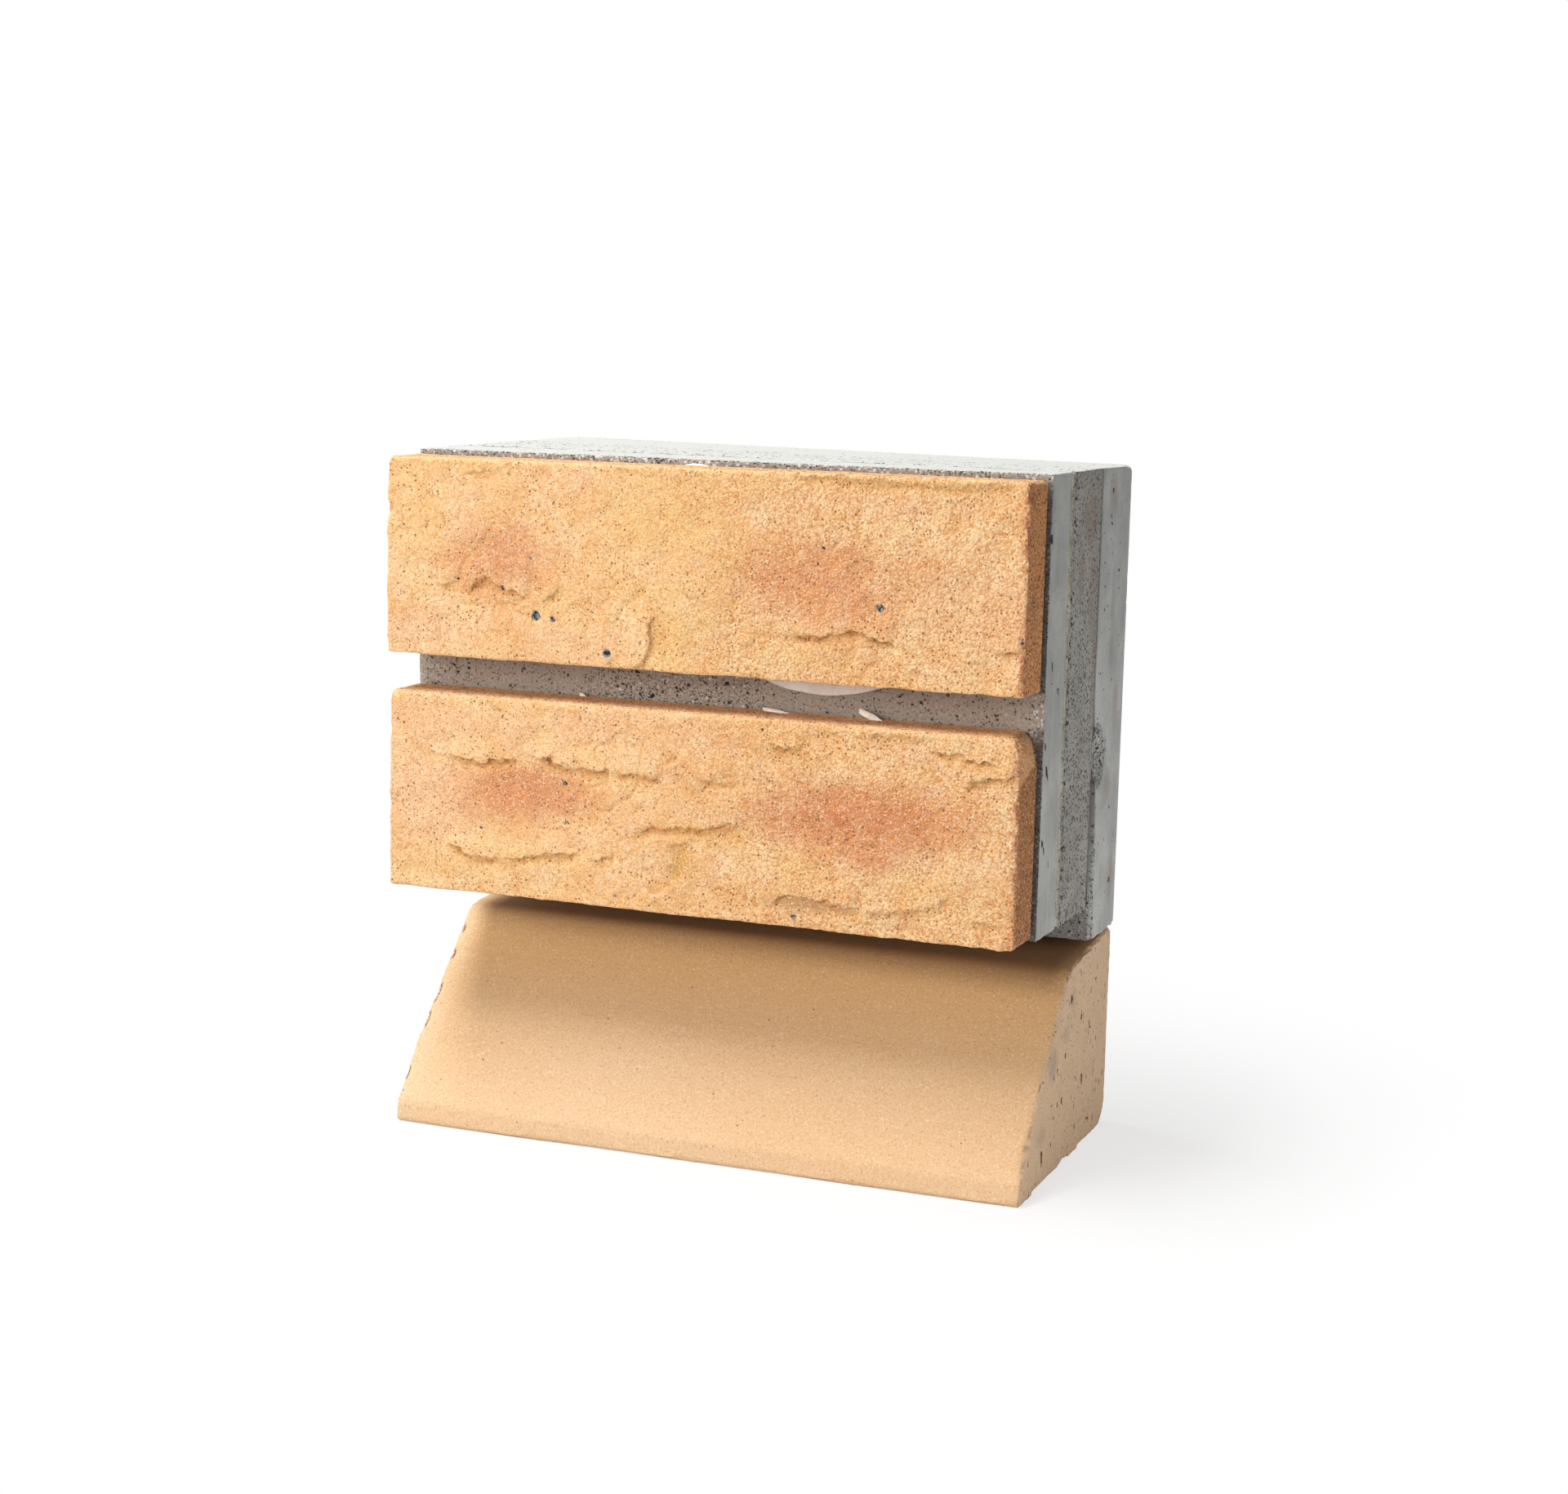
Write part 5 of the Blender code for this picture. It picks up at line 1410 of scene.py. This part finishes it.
def add_floor():
    """A wide pale floor that keeps the panel's soft shadow and runs out into plain white."""
    deselect_all()
    bpy.ops.mesh.primitive_circle_add(vertices=96, radius=6.0, fill_type="NGON")
    floor = bpy.context.object
    floor.name = "pale_floor"
    shader = Shader("pale_floor", 0.9)
    soft = shader.noise(220.0, 3.0, 0.5)
    path = shader.add("ShaderNodeLightPath")
    pale = shader.mix(shader.band(soft, 0.3, 0.7), srgb(244, 244, 243), srgb(250, 250, 249))
    base = shader.mix(path.outputs["Is Camera Ray"], srgb(190, 190, 190), pale)
    shader.plug(shader.surface.inputs["Base Color"], base)
    white = shader.add("ShaderNodeEmission")
    away = shader.add("ShaderNodeVectorMath", operation="LENGTH")
    shader.plug(away.inputs[0], shader.place)
    far = shader.band(away.outputs["Value"], 0.15, 0.34, 0.7, 1.0)
    seen = shader.math("MULTIPLY", path.outputs["Is Camera Ray"], far)
    blend = shader.add("ShaderNodeMixShader")
    shader.plug(blend.inputs[0], seen)
    shader.tree.links.new(shader.surface.outputs[0], blend.inputs[1])
    shader.tree.links.new(white.outputs[0], blend.inputs[2])
    output = next(node for node in shader.tree.nodes if node.type == "OUTPUT_MATERIAL")
    shader.tree.links.new(blend.outputs[0], output.inputs["Surface"])
    floor.data.materials.append(shader.material)


def add_sky(strength):
    """Even light from all around, and plain white behind the panel."""
    world = bpy.data.worlds.new("studio")
    bpy.context.scene.world = world
    world.use_nodes = True
    tree = world.node_tree
    tree.nodes.clear()
    output = tree.nodes.new("ShaderNodeOutputWorld")
    ambient = tree.nodes.new("ShaderNodeBackground")
    ambient.inputs["Color"].default_value = (1.0, 1.0, 1.0, 1.0)
    ambient.inputs["Strength"].default_value = strength
    white = tree.nodes.new("ShaderNodeBackground")
    white.inputs["Color"].default_value = (1.0, 1.0, 1.0, 1.0)
    white.inputs["Strength"].default_value = 1.0
    path = tree.nodes.new("ShaderNodeLightPath")
    direct = tree.nodes.new("ShaderNodeMath")
    direct.operation = "MAXIMUM"
    glossy = tree.nodes.new("ShaderNodeMath")
    glossy.operation = "MAXIMUM"
    blend = tree.nodes.new("ShaderNodeMixShader")
    tree.links.new(path.outputs["Is Glossy Ray"], glossy.inputs[0])
    tree.links.new(path.outputs["Is Transmission Ray"], glossy.inputs[1])
    tree.links.new(path.outputs["Is Camera Ray"], direct.inputs[0])
    tree.links.new(glossy.outputs[0], direct.inputs[1])
    tree.links.new(direct.outputs[0], blend.inputs[0])
    tree.links.new(ambient.outputs[0], blend.inputs[1])
    tree.links.new(white.outputs[0], blend.inputs[2])
    tree.links.new(blend.outputs[0], output.inputs["Surface"])


class PANELSAMPLE_OT_stage(bpy.types.Operator):
    """Set the pale floor, soft lights, white surroundings and the camera"""

    bl_idname = "panel_sample.stage"
    bl_label = "Stage"

    def execute(self, context):
        settings = context.scene.stage_settings
        middle = (0.0, 0.0, 0.13)
        add_floor()
        add_sky(settings.sky)
        add_soft_light("overhead_softbox", (-0.66, -0.6, 2.3), (-0.66, -0.6, 0.13), (0.85, 1.9), settings.overhead)
        add_soft_light("front_softbox", (-0.95, -2.3, 0.8), middle, (1.6, 1.2), settings.front)
        add_soft_light("low_reflector", (0.34, -0.02, 0.02), (0.12, 0.0, 0.05), (0.3, 0.04), settings.low_right)
        add_camera(settings)
        context.scene.view_settings.view_transform = "Standard"
        return {"FINISHED"}


OPERATORS = (
    PANELSAMPLE_OT_slips, PANELSAMPLE_OT_boards, PANELSAMPLE_OT_adhesive, PANELSAMPLE_OT_sill, PANELSAMPLE_OT_stage,
)


class PANELSAMPLE_PT_sidebar(bpy.types.Panel):
    """Lists the steps that model and finish the panel."""

    bl_label = "Slip Panel"
    bl_space_type = "VIEW_3D"
    bl_region_type = "UI"
    bl_category = "Slip Panel"

    def draw(self, context):
        for operator in OPERATORS:
            self.layout.operator(operator.bl_idname)


SETTINGS = {
    "slip_settings": SlipSettings,
    "board_settings": BoardSettings,
    "sill_settings": SillSettings,
    "stage_settings": StageSettings,
}


def register():
    for group in SETTINGS.values():
        bpy.utils.register_class(group)
    for operator in OPERATORS:
        bpy.utils.register_class(operator)
    bpy.utils.register_class(PANELSAMPLE_PT_sidebar)
    for name, group in SETTINGS.items():
        setattr(bpy.types.Scene, name, PointerProperty(type=group))


def unregister():
    for name in SETTINGS:
        delattr(bpy.types.Scene, name)
    bpy.utils.unregister_class(PANELSAMPLE_PT_sidebar)
    for operator in reversed(OPERATORS):
        bpy.utils.unregister_class(operator)
    for group in reversed(list(SETTINGS.values())):
        bpy.utils.unregister_class(group)


def main():
    register()
    bpy.ops.panel_sample.slips()
    bpy.ops.panel_sample.boards()
    bpy.ops.panel_sample.adhesive()
    bpy.ops.panel_sample.sill()
    bpy.ops.panel_sample.stage()


if __name__ == "__main__":
    main()
